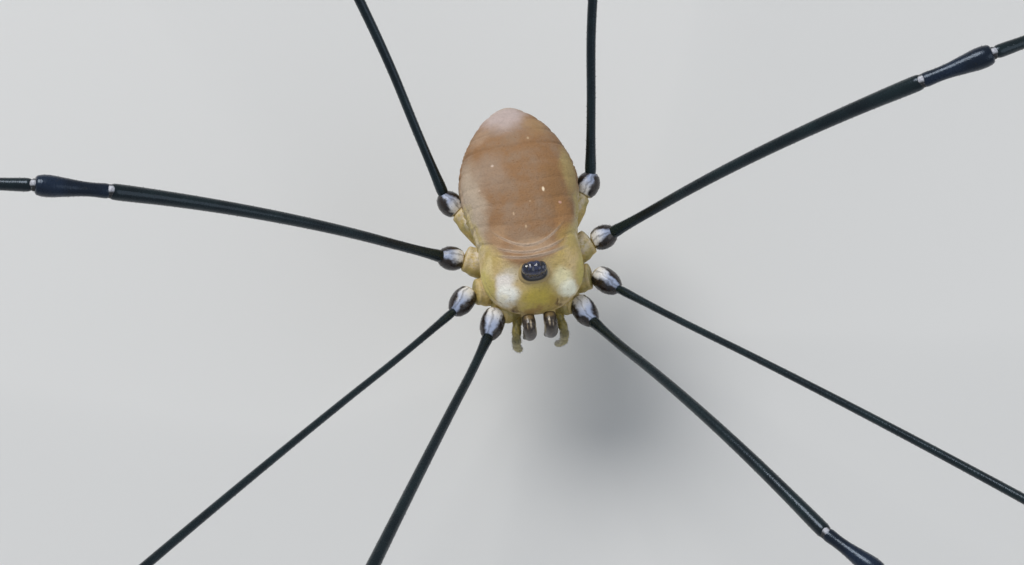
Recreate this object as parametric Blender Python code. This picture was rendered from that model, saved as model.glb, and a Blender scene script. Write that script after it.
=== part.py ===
"""Harvestman, a male round-bodied one, life size, standing on its eight feet.

The head faces -Y and the animal's left side is +X. Everything is laid out in the body's own
frame, whose origin is the middle of the body, and the whole is moved at the end so that the
centre of its footprint is the world's origin and its feet stand at z = 0.
"""

import math

import bmesh
import bpy
from mathutils import Matrix, Vector

MM = 0.001

# Body, in the body's own frame.
FRONT_Y = -1.86 * MM
REAR_Y = 2.40 * MM
WIDEST_Y = 0.75 * MM
ABDOMEN_HALF_WIDTH = 1.13 * MM
WAIST_Y = -0.55 * MM
WAIST_HALF_WIDTH = 0.95 * MM
CARAPACE_SHOULDER_Y = -0.90 * MM
CARAPACE_HALF_WIDTH = 0.97 * MM
TALLEST_Y = 0.40 * MM
BACK_HEIGHT = 1.00 * MM
DEEPEST_Y = 0.80 * MM
BELLY_DEPTH = 0.85 * MM
REAR_TIP_Z = -0.05 * MM
BODY_HEIGHT_OFF_FLOOR = 3.60 * MM
BODY_SIDES = 28
THINNEST = 0.02 * MM
SPLIT_Y = -0.74 * MM
SPLIT_SWEEP = 0.30 * MM
SEGMENT_BORDERS = [y * MM for y in (-0.74, -0.34, 0.08, 0.50, 0.90, 1.30, 1.66, 1.97, 2.20)]
SEGMENT_GROOVE = 0.030 * MM
SEGMENT_CROWN_SHARES = (0.28, 0.72)
SIDE_FOLD = 0.035 * MM
LAST_BORDER_FROM_REAR = 0.07 * MM
END_FLAT_FROM_REAR = 0.004 * MM

# Carapace, from front to rear: share of its length, and dip as a share of a full groove.
CARAPACE_RINGS = (
    (0.004, 0),
    (0.05, 0),
    (0.14, 0),
    (0.27, 0),
    (0.42, 0),
    (0.58, 0),
    (0.70, 0),
    (0.77, 0.7),
    (0.83, 0),
    (0.89, 0.7),
    (0.94, 0),
    (1.0, 0),
)

# Cuts between nodes: parallel faces this far apart. They are thin, because the whole body is
# only 4.3 mm long.
LIMB_GAP = 0.10 * MM
BODY_GAP = 0.10 * MM
EYE_GAP = 0.03 * MM

# Genital plate, under the abdomen, from rear to front between the hindmost coxae.
PLATE_PLACES = (
    (0, 1.05, -0.62),
    (0, 0.55, -0.72),
    (0, 0.0, -0.77),
    (0, -0.45, -0.77),
    (0, -0.72, -0.72),
)
PLATE_HALF_WIDTHS = (0.22, 0.24, 0.20, 0.15, 0.09)

# Eye mound and eyes.
MOUND_Y = -1.27 * MM
MOUND_HALF_WIDTH = 0.24 * MM
MOUND_HALF_LENGTH = 0.19 * MM
MOUND_SEAT_Z = 0.79 * MM
MOUND_HEIGHT = 0.34 * MM
MOUND_SEAT_DEPTH = 0.30 * MM
# From the seat up: share of the mound's height, and share of its full width.
MOUND_RINGS = (
    (0.0, 0.92),
    (0.2, 0.94),
    (0.45, 1.0),
    (0.68, 0.95),
    (0.85, 0.78),
    (0.96, 0.48),
    (1.0, 0.2),
)
EYE_RADIUS = 0.125 * MM
EYE_DOME_HEIGHT = 0.095 * MM
EYE_CENTRE_RISE = 0.18 * MM
EYE_FACET_X = 0.165 * MM
EYE_TURN_UP = math.radians(14)
EYE_TURN_FORWARD = math.radians(12)

# Legs. Real ones are 0.1 to 0.3 mm thick; the solids are never thinner than LEG_RADIUS.
LEG_SIDES = 8
LEG_RADIUS = 0.25 * MM
TROCHANTER_RADIUS = 0.27 * MM
COXA_ROOT_RADIUS = 0.16 * MM
COXA_RADIUS = 0.29 * MM
CLAW_TIP_RADIUS = 0.035 * MM

# Places in millimetres, on the left side, for each pair: where the coxa starts inside the
# body, where it ends, the middle of the trochanter, and where the femur starts.
COXA_ROOTS = {
    1: (0.13, -1.30, -0.44),
    2: (0.14, -1.08, -0.48),
    3: (0.17, -0.88, -0.50),
    4: (0.24, -0.66, -0.52),
}
COXA_ENDS = {
    1: (0.74, -1.58, -0.22),
    2: (1.11, -1.12, -0.22),
    3: (1.21, -0.41, -0.22),
    4: (1.13, 0.57, -0.22),
}
TROCHANTERS = {
    1: (0.87, -1.85, -0.19),
    2: (1.34, -1.30, -0.19),
    3: (1.46, -0.39, -0.19),
    4: (1.33, 0.72, -0.19),
}
FEMUR_STARTS = {
    1: (1.02, -2.16, -0.12),
    2: (1.59, -1.55, -0.12),
    3: (1.72, -0.34, -0.12),
    4: (1.49, 0.90, -0.12),
}
# Lengths in millimetres of femur, patella, tibia, metatarsus and tarsus.
SEGMENT_LENGTHS = {
    1: (7.4, 1.25, 6.6, 8.2, 11.5),
    2: (13.4, 1.40, 12.4, 10.4, 22.0),
    3: (7.4, 1.35, 6.2, 8.8, 12.0),
    4: (10.6, 1.35, 8.8, 12.4, 16.0),
}
# Degrees from straight ahead, outwards, of femur, patella, tibia, metatarsus, tarsus and toe.
SWINGS = {
    (1, "left"): (29.4, 41, 45, 47, 44, 36),
    (1, "right"): (29.5, 38, 43, 46, 49, 60),
    (2, "left"): (42.6, 47, 52, 56, 60, 68),
    (2, "right"): (48.9, 54, 59, 62, 60, 50),
    (3, "left"): (92.1, 100, 108, 111, 107, 97),
    (3, "right"): (93.9, 99, 106, 108, 112, 122),
    (4, "left"): (167.4, 164, 159, 156, 158, 165),
    (4, "right"): (158.7, 155, 150, 147, 144, 136),
}
# Degrees above level of femur, patella and tibia; the metatarsus comes down to the floor.
LIFTS = {
    (1, "left"): (28.5, 8, -17),
    (1, "right"): (27.0, 8, -18),
    (2, "left"): (27.0, 6, -14),
    (2, "right"): (27.0, 6, -14),
    (3, "left"): (42.2, 12, -18),
    (3, "right"): (38.5, 12, -18),
    (4, "left"): (32.0, 8, -19),
    (4, "right"): (32.0, 8, -19),
}
# Bow of the femur in millimetres, upwards and towards the body's middle.
FEMUR_BOWS = {
    (1, "left"): (0.40, 0.0),
    (1, "right"): (0.12, 0.0),
    (2, "left"): (0.28, 0.0),
    (2, "right"): (0.27, 0.0),
    (3, "left"): (0.32, 0.0),
    (3, "right"): (0.32, 0.0),
    (4, "left"): (0.35, 0.26),
    (4, "right"): (0.35, 0.19),
}
TARSUS_COMES_DOWN = 0.58
TARSUS_TAPERS_FROM = 0.62
TARSUS_STEPS = 20
LEVELLED_BELOW = 0.012 * MM
STEEPEST_METATARSUS = -80.0
DIP_SEARCH_STEPS = 50
SIDES = {"left": 1, "right": -1}

# Mouthparts. The places are in millimetres, on the left side.
CHELICERA_SOCKET = (0.20, -1.83, -0.04)
CHELICERA_RADIUS = 0.155 * MM
CHELICERA_STUB = 0.30 * MM
CHELICERA_REACH = 0.17 * MM
HAND_LENGTH = 0.64 * MM
FINGER_LENGTH = 0.26 * MM
PALP_SOCKET = (0.40, -1.72, -0.40)
PALP_RADIUS = 0.20 * MM
PALP_STUB = 0.45 * MM
PALP_JOINTS = (
    (0.51, -2.12, -0.40),
    (0.545, -2.27, -0.64),
    (0.51, -2.24, -1.06),
    (0.36, -1.93, -1.78),
)

COLOURS = {
    "abdomen_brown": ((0.40, 0.21, 0.11), 0.55),
    "carapace_gold": ((0.50, 0.33, 0.13), 0.50),
    "mound_black": ((0.012, 0.012, 0.018), 0.30),
    "eye_black": ((0.006, 0.006, 0.014), 0.08),
    "chelicera_brown": ((0.10, 0.06, 0.035), 0.35),
    "palp_brown": ((0.22, 0.14, 0.06), 0.45),
    "trochanter_black": ((0.035, 0.028, 0.030), 0.22),
    "leg_black": ((0.012, 0.018, 0.018), 0.35),
    "tarsus_brown": ((0.035, 0.028, 0.022), 0.50),
}


def clear_scene():
    for old in list(bpy.data.objects):
        bpy.data.objects.remove(old)


def material(name):
    """One Principled material for each finish, made the first time it is asked for."""
    found = bpy.data.materials.get(name)
    if found:
        return found
    colour, roughness = COLOURS[name]
    made = bpy.data.materials.new(name)
    made.use_nodes = True
    shader = made.node_tree.nodes["Principled BSDF"]
    shader.inputs["Base Color"].default_value = (*colour, 1)
    shader.inputs["Roughness"].default_value = roughness
    shader.inputs["Metallic"].default_value = 0.0
    return made


def eased(share):
    """From 0 to 1 with level ends."""
    return share * share * (3 - 2 * share)


def blunt(share, power, root):
    """Falls from 1 at share 0 to 0 at share 1, slowly and then steeply, as a rounded end does."""
    share = min(max(share, 0.0), 1.0)
    return (1 - share**power) ** root


def half_width(y):
    if y > WIDEST_Y:
        return ABDOMEN_HALF_WIDTH * blunt((y - WIDEST_Y) / (REAR_Y - WIDEST_Y), 2.0, 0.65)
    if y < CARAPACE_SHOULDER_Y:
        share = (CARAPACE_SHOULDER_Y - y) / (CARAPACE_SHOULDER_Y - FRONT_Y)
        return CARAPACE_HALF_WIDTH * blunt(share, 2.6, 0.5)
    if y < WAIST_Y:
        share = (WAIST_Y - y) / (WAIST_Y - CARAPACE_SHOULDER_Y)
        return WAIST_HALF_WIDTH + (CARAPACE_HALF_WIDTH - WAIST_HALF_WIDTH) * eased(share)
    share = (y - WAIST_Y) / (WIDEST_Y - WAIST_Y)
    return WAIST_HALF_WIDTH + (ABDOMEN_HALF_WIDTH - WAIST_HALF_WIDTH) * eased(share)


def back_z(y):
    if y > TALLEST_Y:
        share = (y - TALLEST_Y) / (REAR_Y - TALLEST_Y)
        return REAR_TIP_Z + (BACK_HEIGHT - REAR_TIP_Z) * blunt(share, 2.0, 0.70)
    return BACK_HEIGHT * blunt((TALLEST_Y - y) / (TALLEST_Y - FRONT_Y), 3.2, 0.52)


def belly_z(y):
    if y > DEEPEST_Y:
        share = (y - DEEPEST_Y) / (REAR_Y - DEEPEST_Y)
        return REAR_TIP_Z - (BELLY_DEPTH + REAR_TIP_Z) * blunt(share, 2.0, 0.70)
    return -BELLY_DEPTH * blunt((DEEPEST_Y - y) / (DEEPEST_Y - FRONT_Y), 1.5, 0.60)


def widest_z(y):
    """Height of the body's edge between back and belly."""
    return belly_z(y) + (back_z(y) - belly_z(y)) * 0.52


def border_sweep(y):
    """How far a border's sides lie behind its middle. It fades out towards front and rear."""
    if y < SPLIT_Y:
        return SPLIT_SWEEP * max(0.0, (y - FRONT_Y) / (SPLIT_Y - FRONT_Y)) ** 2
    return SPLIT_SWEEP * max(0.0, (REAR_Y - y) / (REAR_Y - SPLIT_Y)) ** 1.5


def body_ring(y, inset=0.0, fold=0.0):
    """Points round the body, from the left side over the back, swept back at the sides.

    The cuticle dips by inset all round, and by fold more along the middle of each side.
    """
    points = []
    for i in range(BODY_SIDES):
        angle = 2 * math.pi * i / BODY_SIDES
        side, rise = math.cos(angle), math.sin(angle)
        there = y + border_sweep(y) * side**2
        middle = widest_z(there)
        reach = (back_z(there) - middle) if rise >= 0 else (middle - belly_z(there))
        power = 0.90 if rise >= 0 else 0.82
        dip = inset + (fold if abs(rise) < 0.05 else 0.0)
        x = math.copysign(abs(side) ** power, side) * max(half_width(there) - dip, THINNEST)
        z = middle + math.copysign(abs(rise) ** power, rise) * max(reach - inset, THINNEST)
        points.append(Vector((x, there, z)))
    return points


def skin_rings(name, rings):
    """A closed mesh object through rings of as many points each, with a fan over each end."""
    mesh = bmesh.new()
    loops = [[mesh.verts.new(point) for point in ring] for ring in rings]
    count = len(rings[0])
    for near, far in zip(loops, loops[1:]):
        for i in range(count):
            j = (i + 1) % count
            mesh.faces.new((near[i], near[j], far[j], far[i]))
    for loop in (loops[0], loops[-1]):
        centre = mesh.verts.new(sum((v.co for v in loop), Vector()) / count)
        for i in range(count):
            mesh.faces.new((centre, loop[i], loop[(i + 1) % count]))
    bmesh.ops.recalc_face_normals(mesh, faces=mesh.faces)
    data = bpy.data.meshes.new(name)
    mesh.to_mesh(data)
    mesh.free()
    made = bpy.data.objects.new(name, data)
    bpy.context.scene.collection.objects.link(made)
    return made


def turned_ring(centre, normal, radius, sides, across=None):
    """A ring square to normal. It has a flat side down, or one that across lies along."""
    normal = normal.normalized()
    if across is None:
        across = normal.cross(Vector((0, 0, 1)))
    else:
        across = across - normal * across.dot(normal)
    across = across.normalized()
    over = across.cross(normal).normalized()
    points = []
    for i in range(sides):
        angle = 2 * math.pi * (i + 0.5) / sides
        points.append(centre + (across * math.cos(angle) + over * math.sin(angle)) * radius)
    return points


def tube(name, centres, radii, sides, first_normal=None, last_normal=None, across=None):
    """A closed tube along centres. Its end faces are square to the normals given."""
    rings = []
    last = len(centres) - 1
    for i, (centre, radius) in enumerate(zip(centres, radii)):
        ahead = centres[min(i + 1, last)] - centres[max(i - 1, 0)]
        if i == 0 and first_normal:
            ahead = first_normal
        if i == last and last_normal:
            ahead = last_normal
        rings.append(turned_ring(centre, ahead, radius, sides, across))
    return skin_rings(name, rings)


def solve(owner, kind, other=None, collection=None):
    """Applies one exact Boolean to owner, with another object or with a whole collection."""
    step = owner.modifiers.new(kind.lower(), "BOOLEAN")
    step.operation = kind
    step.solver = "EXACT"
    if collection:
        step.operand_type = "COLLECTION"
        step.collection = collection
    else:
        step.object = other
    bpy.context.view_layer.update()
    graph = bpy.context.evaluated_depsgraph_get()
    result = bpy.data.meshes.new_from_object(owner.evaluated_get(graph))
    owner.modifiers.remove(step)
    owner.data = result


def keep_largest_body(owner):
    """Drops every closed surface but the largest, such as a scrap that a cut leaves."""
    mesh = bmesh.new()
    mesh.from_mesh(owner.data)
    left = set(mesh.verts)
    groups = []
    while left:
        group = set()
        front = [left.pop()]
        while front:
            vertex = front.pop()
            group.add(vertex)
            for edge in vertex.link_edges:
                other = edge.other_vert(vertex)
                if other in left:
                    left.remove(other)
                    front.append(other)
        groups.append(group)
    groups.sort(key=len)
    for group in groups[:-1]:
        bmesh.ops.delete(mesh, geom=list(group), context="VERTS")
    mesh.to_mesh(owner.data)
    mesh.free()


def fuse(name, pieces):
    """Joins closed pieces into one closed mesh object."""
    owner, *others = pieces
    group = bpy.data.collections.new(name + "_pieces")
    bpy.context.scene.collection.children.link(group)
    for piece in others:
        bpy.context.scene.collection.objects.unlink(piece)
        group.objects.link(piece)
    solve(owner, "UNION", collection=group)
    for piece in others:
        bpy.data.objects.remove(piece)
    bpy.data.collections.remove(group)
    owner.name = name
    keep_largest_body(owner)
    return owner


def cut(owner, cutter):
    solve(owner, "DIFFERENCE", other=cutter)
    bpy.data.objects.remove(cutter)
    keep_largest_body(owner)
    return owner


def finish(owner, name, finish_name):
    owner.name = name
    owner.data.name = name
    owner.data.materials.clear()
    owner.data.materials.append(material(finish_name))
    owner.data.shade_smooth()
    owner.data.set_sharp_from_angle(angle=math.radians(50))
    return owner


def mirrored(place, side):
    return Vector((place[0] * side, place[1], place[2])) * MM


def coxa_axis(pair, side):
    """Where the coxa starts and ends, and the direction square to its end face."""
    root = mirrored(COXA_ROOTS[pair], side)
    end = mirrored(COXA_ENDS[pair], side)
    onwards = (mirrored(TROCHANTERS[pair], side) - end).normalized()
    return root, end, ((end - root).normalized() + onwards).normalized()


def coxa(pair, side, grow=0.0):
    root, end, facing = coxa_axis(pair, side)
    end = end - facing * (LIMB_GAP / 2 - grow)
    centres = [root.lerp(end, share) for share in (0.0, 0.3, 0.6, 0.85, 1.0)]
    shares = (0.0, 0.40, 0.78, 1.0, 0.93)
    radii = [COXA_ROOT_RADIUS + (COXA_RADIUS - COXA_ROOT_RADIUS) * s + grow for s in shares]
    return tube(f"coxa{pair}_{side}", centres, radii, 10, last_normal=facing)


def abdomen():
    """Nine ringed segments, each crowned between its borders, and the genital plate below."""
    start = SPLIT_Y + BODY_GAP / 2
    borders = [start, *SEGMENT_BORDERS[1:], REAR_Y - LAST_BORDER_FROM_REAR]
    rings = [body_ring(start, 0.0, SIDE_FOLD)]
    for near, far in zip(borders, borders[1:]):
        for share in SEGMENT_CROWN_SHARES:
            rings.append(body_ring(near + (far - near) * share, 0.0, SIDE_FOLD))
        rings.append(body_ring(far, SEGMENT_GROOVE, SIDE_FOLD / 2))
    rings.append(body_ring(REAR_Y - END_FLAT_FROM_REAR))
    whole = skin_rings("abdomen", rings)
    plate_route = [Vector(place) * MM for place in PLATE_PLACES]
    plate = tube("plate", plate_route, [width * MM for width in PLATE_HALF_WIDTHS], 10)
    whole = fuse("abdomen", [whole, plate])
    for side in SIDES.values():
        for pair in (3, 4):
            cut(whole, coxa(pair, side, grow=BODY_GAP))
            cut(whole, trochanter_clearance(pair, side))
    return whole


def trochanter_clearance(pair, side):
    """Room for the trochanter beside the abdomen."""
    _, near, facing = coxa_axis(pair, side)
    middle = mirrored(TROCHANTERS[pair], side)
    far = mirrored(FEMUR_STARTS[pair], side)
    radius = TROCHANTER_RADIUS + BODY_GAP
    centres = [near - facing * BODY_GAP, middle, far + (far - middle).normalized() * BODY_GAP]
    return tube("clearance", centres, [radius] * 3, 10)


def chelicera_socket(side):
    return mirrored(CHELICERA_SOCKET, side), Vector((0, -1, 0.10)).normalized()


def palp_socket(side):
    return mirrored(PALP_SOCKET, side), Vector((side * 0.25, -1, -0.05)).normalized()


def socket_stub(socket, radius, depth):
    """The short flat-ended neck of the cephalothorax that a mouthpart grows from."""
    place, along = socket
    return tube("stub", [place - along * depth, place], [radius * 1.1, radius], 10)


def cephalothorax():
    """The carapace, its two narrow hind plates, the eight coxae and the mouthparts' sockets."""
    span = SPLIT_Y - BODY_GAP / 2 - FRONT_Y
    rings = []
    for share, dip in CARAPACE_RINGS:
        rings.append(body_ring(FRONT_Y + span * share, dip * SEGMENT_GROOVE))
    pieces = [skin_rings("prosoma", rings)]
    for side in SIDES.values():
        pieces += [coxa(pair, side) for pair in COXA_ROOTS]
        pieces.append(socket_stub(chelicera_socket(side), CHELICERA_RADIUS, CHELICERA_STUB))
        pieces.append(socket_stub(palp_socket(side), PALP_RADIUS, PALP_STUB))
    seat = Vector((0, MOUND_Y, MOUND_SEAT_Z))
    foot = seat - Vector((0, 0, MOUND_SEAT_DEPTH))
    pieces.append(skin_rings("seat", [mound_ring(foot, 1.6), mound_ring(seat, 1.02)]))
    return fuse("cephalothorax", pieces)


def mound_ring(centre, scale, sides=16):
    points = []
    for i in range(sides):
        angle = 2 * math.pi * i / sides
        across = math.cos(angle) * MOUND_HALF_WIDTH * scale
        along = math.sin(angle) * MOUND_HALF_LENGTH * scale
        points.append(centre + Vector((across, along, 0)))
    return points


def eye_axis(side):
    flat = Vector((side * math.cos(EYE_TURN_FORWARD), -math.sin(EYE_TURN_FORWARD), 0))
    return (flat * math.cos(EYE_TURN_UP) + Vector((0, 0, math.sin(EYE_TURN_UP)))).normalized()


def eye_seat(side):
    """The middle of the flat that an eye faces, on the mound's side."""
    return Vector((side * EYE_FACET_X, MOUND_Y, MOUND_SEAT_Z + EYE_CENTRE_RISE))


def eye_mound():
    """A rounded knob, sliced flat on each side where its eye sits."""
    base = MOUND_SEAT_Z + EYE_GAP
    rings = []
    for rise, scale in MOUND_RINGS:
        centre = Vector((0, MOUND_Y, base + MOUND_HEIGHT * rise))
        rings.append(mound_ring(centre, scale))
    whole = skin_rings("eye_mound", rings)
    mesh = bmesh.new()
    mesh.from_mesh(whole.data)
    for side in SIDES.values():
        axis = eye_axis(side)
        place = eye_seat(side) - axis * EYE_GAP
        geometry = mesh.verts[:] + mesh.edges[:] + mesh.faces[:]
        sliced = bmesh.ops.bisect_plane(
            mesh, geom=geometry, plane_co=place, plane_no=axis, dist=1e-9, clear_outer=True
        )
        rim = [item for item in sliced["geom_cut"] if isinstance(item, bmesh.types.BMEdge)]
        bmesh.ops.edgeloop_fill(mesh, edges=rim)
    bmesh.ops.recalc_face_normals(mesh, faces=mesh.faces)
    mesh.to_mesh(whole.data)
    mesh.free()
    return whole


def eye(side):
    """A dome with a flat back, standing out of the mound's side."""
    axis = eye_axis(side)
    seat = eye_seat(side)
    rings = []
    for angle in (0, 25, 48, 68, 84):
        tilt = math.radians(angle)
        centre = seat + axis * math.sin(tilt) * EYE_DOME_HEIGHT
        rings.append(turned_ring(centre, axis, math.cos(tilt) * EYE_RADIUS, 12))
    return skin_rings("eye", rings)


def chelicera(side):
    """The short first segment reaches forwards. The hand hangs from it, with two fingers."""
    socket, along = chelicera_socket(side)
    start = socket + along * LIMB_GAP
    knee = start + along * CHELICERA_REACH
    crosswise = Vector((1, 0, 0))
    hand = []
    for down, forwards in ((-0.04, 0.0), (0.28, 0.05), (0.70, 0.02), (1.0, -0.04)):
        hand.append(knee + Vector((0, -forwards * MM, -down * HAND_LENGTH)))
    base_radii = [CHELICERA_RADIUS * s for s in (0.95, 1.06, 0.9)]
    base = tube("base", [start, start.lerp(knee, 0.45), knee], base_radii, 10, across=crosswise)
    palm_radii = [CHELICERA_RADIUS * s for s in (0.78, 1.0, 0.88, 0.58)]
    palm = tube("palm", hand, palm_radii, 10, across=crosswise)
    fingers = []
    for inward in (-1, 1):
        root = hand[-1] + Vector((inward * 0.055 * MM, 0, 0.10 * MM))
        elbow = hand[-1] + Vector((inward * 0.085 * MM, 0, -FINGER_LENGTH * 0.4))
        tip = hand[-1] + Vector((inward * 0.02 * MM, 0, -FINGER_LENGTH))
        radii = [0.055 * MM, 0.045 * MM, 0.012 * MM]
        fingers.append(tube("finger", [root, elbow, tip], radii, 6, across=crosswise))
    return fuse("chelicera", [base, palm, *fingers])


def pedipalp(side):
    """Femur forwards, patella over the bend, tibia down, tarsus back, and a small claw."""
    socket, along = palp_socket(side)
    start = socket + along * LIMB_GAP
    joints = [start, *(mirrored(place, side) for place in PALP_JOINTS)]
    places = [start]
    thickness = [0.95]
    swellings = ((0.86, 1.0, 1.0), (1.02, 1.04, 1.0), (0.90, 0.98, 0.88), (0.84, 0.82, 0.62))
    for near, far, swelling in zip(joints, joints[1:], swellings):
        for share, size in zip((0.25, 0.6, 0.9), swelling):
            places.append(near.lerp(far, share))
            thickness.append(size)
    claw = joints[-1]
    places += [claw, claw + Vector((0, -0.03 * MM, -0.10 * MM))]
    thickness += [0.24, 0.06]
    radii = [PALP_RADIUS * size for size in thickness]
    return tube("pedipalp", places, radii, 10, first_normal=along, across=Vector((1, 0, 0)))


def heading(swing, lift, side):
    """A unit vector that many degrees out from straight ahead and above level."""
    out, rise = math.radians(swing), math.radians(lift)
    return Vector((side * math.sin(out) * math.cos(rise), -math.cos(out) * math.cos(rise), math.sin(rise)))


def tarsus_radius(share):
    """Full thickness for most of the length, tapering to the claw over the last third."""
    if share < TARSUS_TAPERS_FROM:
        return LEG_RADIUS
    taper = (share - TARSUS_TAPERS_FROM) / (1 - TARSUS_TAPERS_FROM)
    return LEG_RADIUS + (CLAW_TIP_RADIUS - LEG_RADIUS) * taper**1.1


def tarsus_path(start, swings, dip, length, side, steps):
    """Centres from start: sloping down by dip degrees at first and levelling out."""
    centres = [start]
    place = start
    for i in range(steps):
        share = (i + 0.5) / steps
        lift = dip * (1 - eased(min(1.0, share / TARSUS_COMES_DOWN)))
        swing = swings[0] + (swings[1] - swings[0]) * share**2
        place = place + heading(swing, lift, side) * (length / steps)
        centres.append(place)
    return centres


def foot_height(share):
    """Height of the tarsus's middle where its flat underside lies on the floor."""
    return tarsus_radius(share) * math.cos(math.pi / LEG_SIDES)


def leg_joints(pair, side_name):
    """The leg's joints from the trochanter's far end to the tarsus's start, and its tarsus.

    The metatarsus's slope is searched for, so that the tarsus ends level on the floor.
    """
    side = SIDES[side_name]
    swings = SWINGS[pair, side_name]
    lifts = LIFTS[pair, side_name]
    femur, patella, tibia, metatarsus, tarsus = (length * MM for length in SEGMENT_LENGTHS[pair])
    joints = [mirrored(FEMUR_STARTS[pair], side)]
    for length, swing, lift in zip((femur, patella, tibia), swings, lifts):
        joints.append(joints[-1] + heading(swing, lift, side) * length)
    floor = -BODY_HEIGHT_OFF_FLOOR + foot_height(TARSUS_COMES_DOWN)
    low, high = STEEPEST_METATARSUS, 0.0
    for _ in range(DIP_SEARCH_STEPS):
        dip = (low + high) / 2
        ankle = joints[-1] + heading(swings[3], dip, side) * metatarsus
        path = tarsus_path(ankle, swings[4:], dip, tarsus, side, TARSUS_STEPS)
        if path[-1].z > floor:
            high = dip
        else:
            low = dip
    joints.append(ankle)
    return joints, settle(path)


def settle(path):
    """Lowers the tapering end of the tarsus, so that its underside stays on the floor."""
    steps = len(path) - 1
    settled = []
    for i, place in enumerate(path):
        share = i / steps
        if share >= TARSUS_COMES_DOWN:
            place = Vector((place.x, place.y, -BODY_HEIGHT_OFF_FLOOR + foot_height(share)))
        settled.append(place)
    return settled


def joint_normals(points):
    """The direction that halves the bend at each inner point, and the end directions."""
    normals = []
    for i in range(len(points)):
        before = (points[i] - points[i - 1]).normalized() if i > 0 else None
        after = (points[i + 1] - points[i]).normalized() if i + 1 < len(points) else None
        if before is None:
            normals.append(after)
        elif after is None:
            normals.append(before)
        else:
            normals.append((before + after).normalized())
    return normals


def bowed(start, end, bow, side, steps):
    """Centres from start to end, arched upwards, and inwards most of all near the start."""
    chord = (end - start).normalized()
    across = chord.cross(Vector((0, 0, 1))).normalized()
    over = across.cross(chord).normalized()
    if across.x * side > 0:
        across = -across
    centres = []
    for i in range(steps + 1):
        share = i / steps
        rise = bow[0] * MM * 4 * share * (1 - share)
        inwards = bow[1] * MM * 6.75 * share * (1 - share) ** 2
        centres.append(start.lerp(end, share) + over * rise + across * inwards)
    return centres


def flatten_foot(owner):
    """Sets what reaches down to the floor, or almost, to exactly its level."""
    floor = -BODY_HEIGHT_OFF_FLOOR
    for vertex in owner.data.vertices:
        if vertex.co.z < floor + LEVELLED_BELOW:
            vertex.co.z = floor


def femur_facing(pair, side, femur_direction):
    """The direction square to the faces where the trochanter meets the femur."""
    along = mirrored(FEMUR_STARTS[pair], side) - mirrored(TROCHANTERS[pair], side)
    return (along.normalized() + femur_direction).normalized()


def trochanter(pair, side, facing_femur):
    _, near, facing_coxa = coxa_axis(pair, side)
    middle = mirrored(TROCHANTERS[pair], side)
    start = near + facing_coxa * LIMB_GAP / 2
    end = mirrored(FEMUR_STARTS[pair], side) - facing_femur * LIMB_GAP / 2
    centres = [start, start.lerp(middle, 0.5), middle, middle.lerp(end, 0.55), end]
    radii = [TROCHANTER_RADIUS * s for s in (0.84, 1.0, 1.06, 1.0, 0.86)]
    return tube("trochanter", centres, radii, 10, facing_coxa, facing_femur)


def leg(pair, side_name):
    """All six nodes of one leg, from trochanter to tarsus."""
    side = SIDES[side_name]
    joints, foot = leg_joints(pair, side_name)
    normals = joint_normals([*joints, foot[1]])
    normals[0] = femur_facing(pair, side, normals[0])
    title = f"leg{pair}_{side_name}_"
    finish(trochanter(pair, side, normals[0]), title + "trochanter", "trochanter_black")
    bow = FEMUR_BOWS[pair, side_name]
    shapes = (
        ("femur", "leg_black", 8, bow, (1, 1, 1, 1, 1, 1, 1, 1.04, 1.08)),
        ("patella", "leg_black", 4, (0, 0), (1, 1.04, 1.18, 1.18, 1)),
        ("tibia", "leg_black", 4, (0.10, 0), (1, 1.04, 1, 1, 1)),
        ("metatarsus", "leg_black", 4, (0.12, 0), (1, 1, 1, 1, 1)),
    )
    for i, (part, finish_name, steps, bow, thickness) in enumerate(shapes):
        start = joints[i] + normals[i] * LIMB_GAP / 2
        end = joints[i + 1] - normals[i + 1] * LIMB_GAP / 2
        centres = bowed(start, end, bow, side, steps)
        radii = [LEG_RADIUS * t for t in thickness]
        piece = tube(part, centres, radii, LEG_SIDES, normals[i], normals[i + 1])
        finish(piece, title + part, finish_name)
    foot[0] = foot[0] + normals[4] * LIMB_GAP / 2
    steps = len(foot) - 1
    radii = [tarsus_radius(i / steps) for i in range(steps + 1)]
    piece = tube("tarsus", foot, radii, LEG_SIDES, normals[4])
    flatten_foot(piece)
    finish(piece, title + "tarsus", "tarsus_brown")


def stand_on_origin():
    """Moves every node so that the footprint's centre is the origin and the floor is z = 0."""
    nodes = [node for node in bpy.data.objects if node.type == "MESH"]
    points = [vertex.co for node in nodes for vertex in node.data.vertices]
    low = Vector(min(p[k] for p in points) for k in range(3))
    high = Vector(max(p[k] for p in points) for k in range(3))
    shift = Vector((-(low.x + high.x) / 2, -(low.y + high.y) / 2, BODY_HEIGHT_OFF_FLOOR))
    for node in nodes:
        node.data.transform(Matrix.Translation(shift))


def main():
    clear_scene()
    finish(cephalothorax(), "cephalothorax", "carapace_gold")
    finish(abdomen(), "abdomen", "abdomen_brown")
    finish(eye_mound(), "eye_mound", "mound_black")
    for side_name, side in SIDES.items():
        finish(eye(side), "eye_" + side_name, "eye_black")
        finish(chelicera(side), "chelicera_" + side_name, "chelicera_brown")
        finish(pedipalp(side), "pedipalp_" + side_name, "palp_brown")
        for pair in COXA_ROOTS:
            leg(pair, side_name)
    stand_on_origin()


main()
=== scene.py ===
"""A life-size harvestman on a plain pale floor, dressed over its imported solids.

Sizes are in metres, and MM turns millimetres into them. The animal's own frame has its origin in
the middle of the body, the head towards -Y and the animal's left side towards +X.
"""

import math

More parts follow.
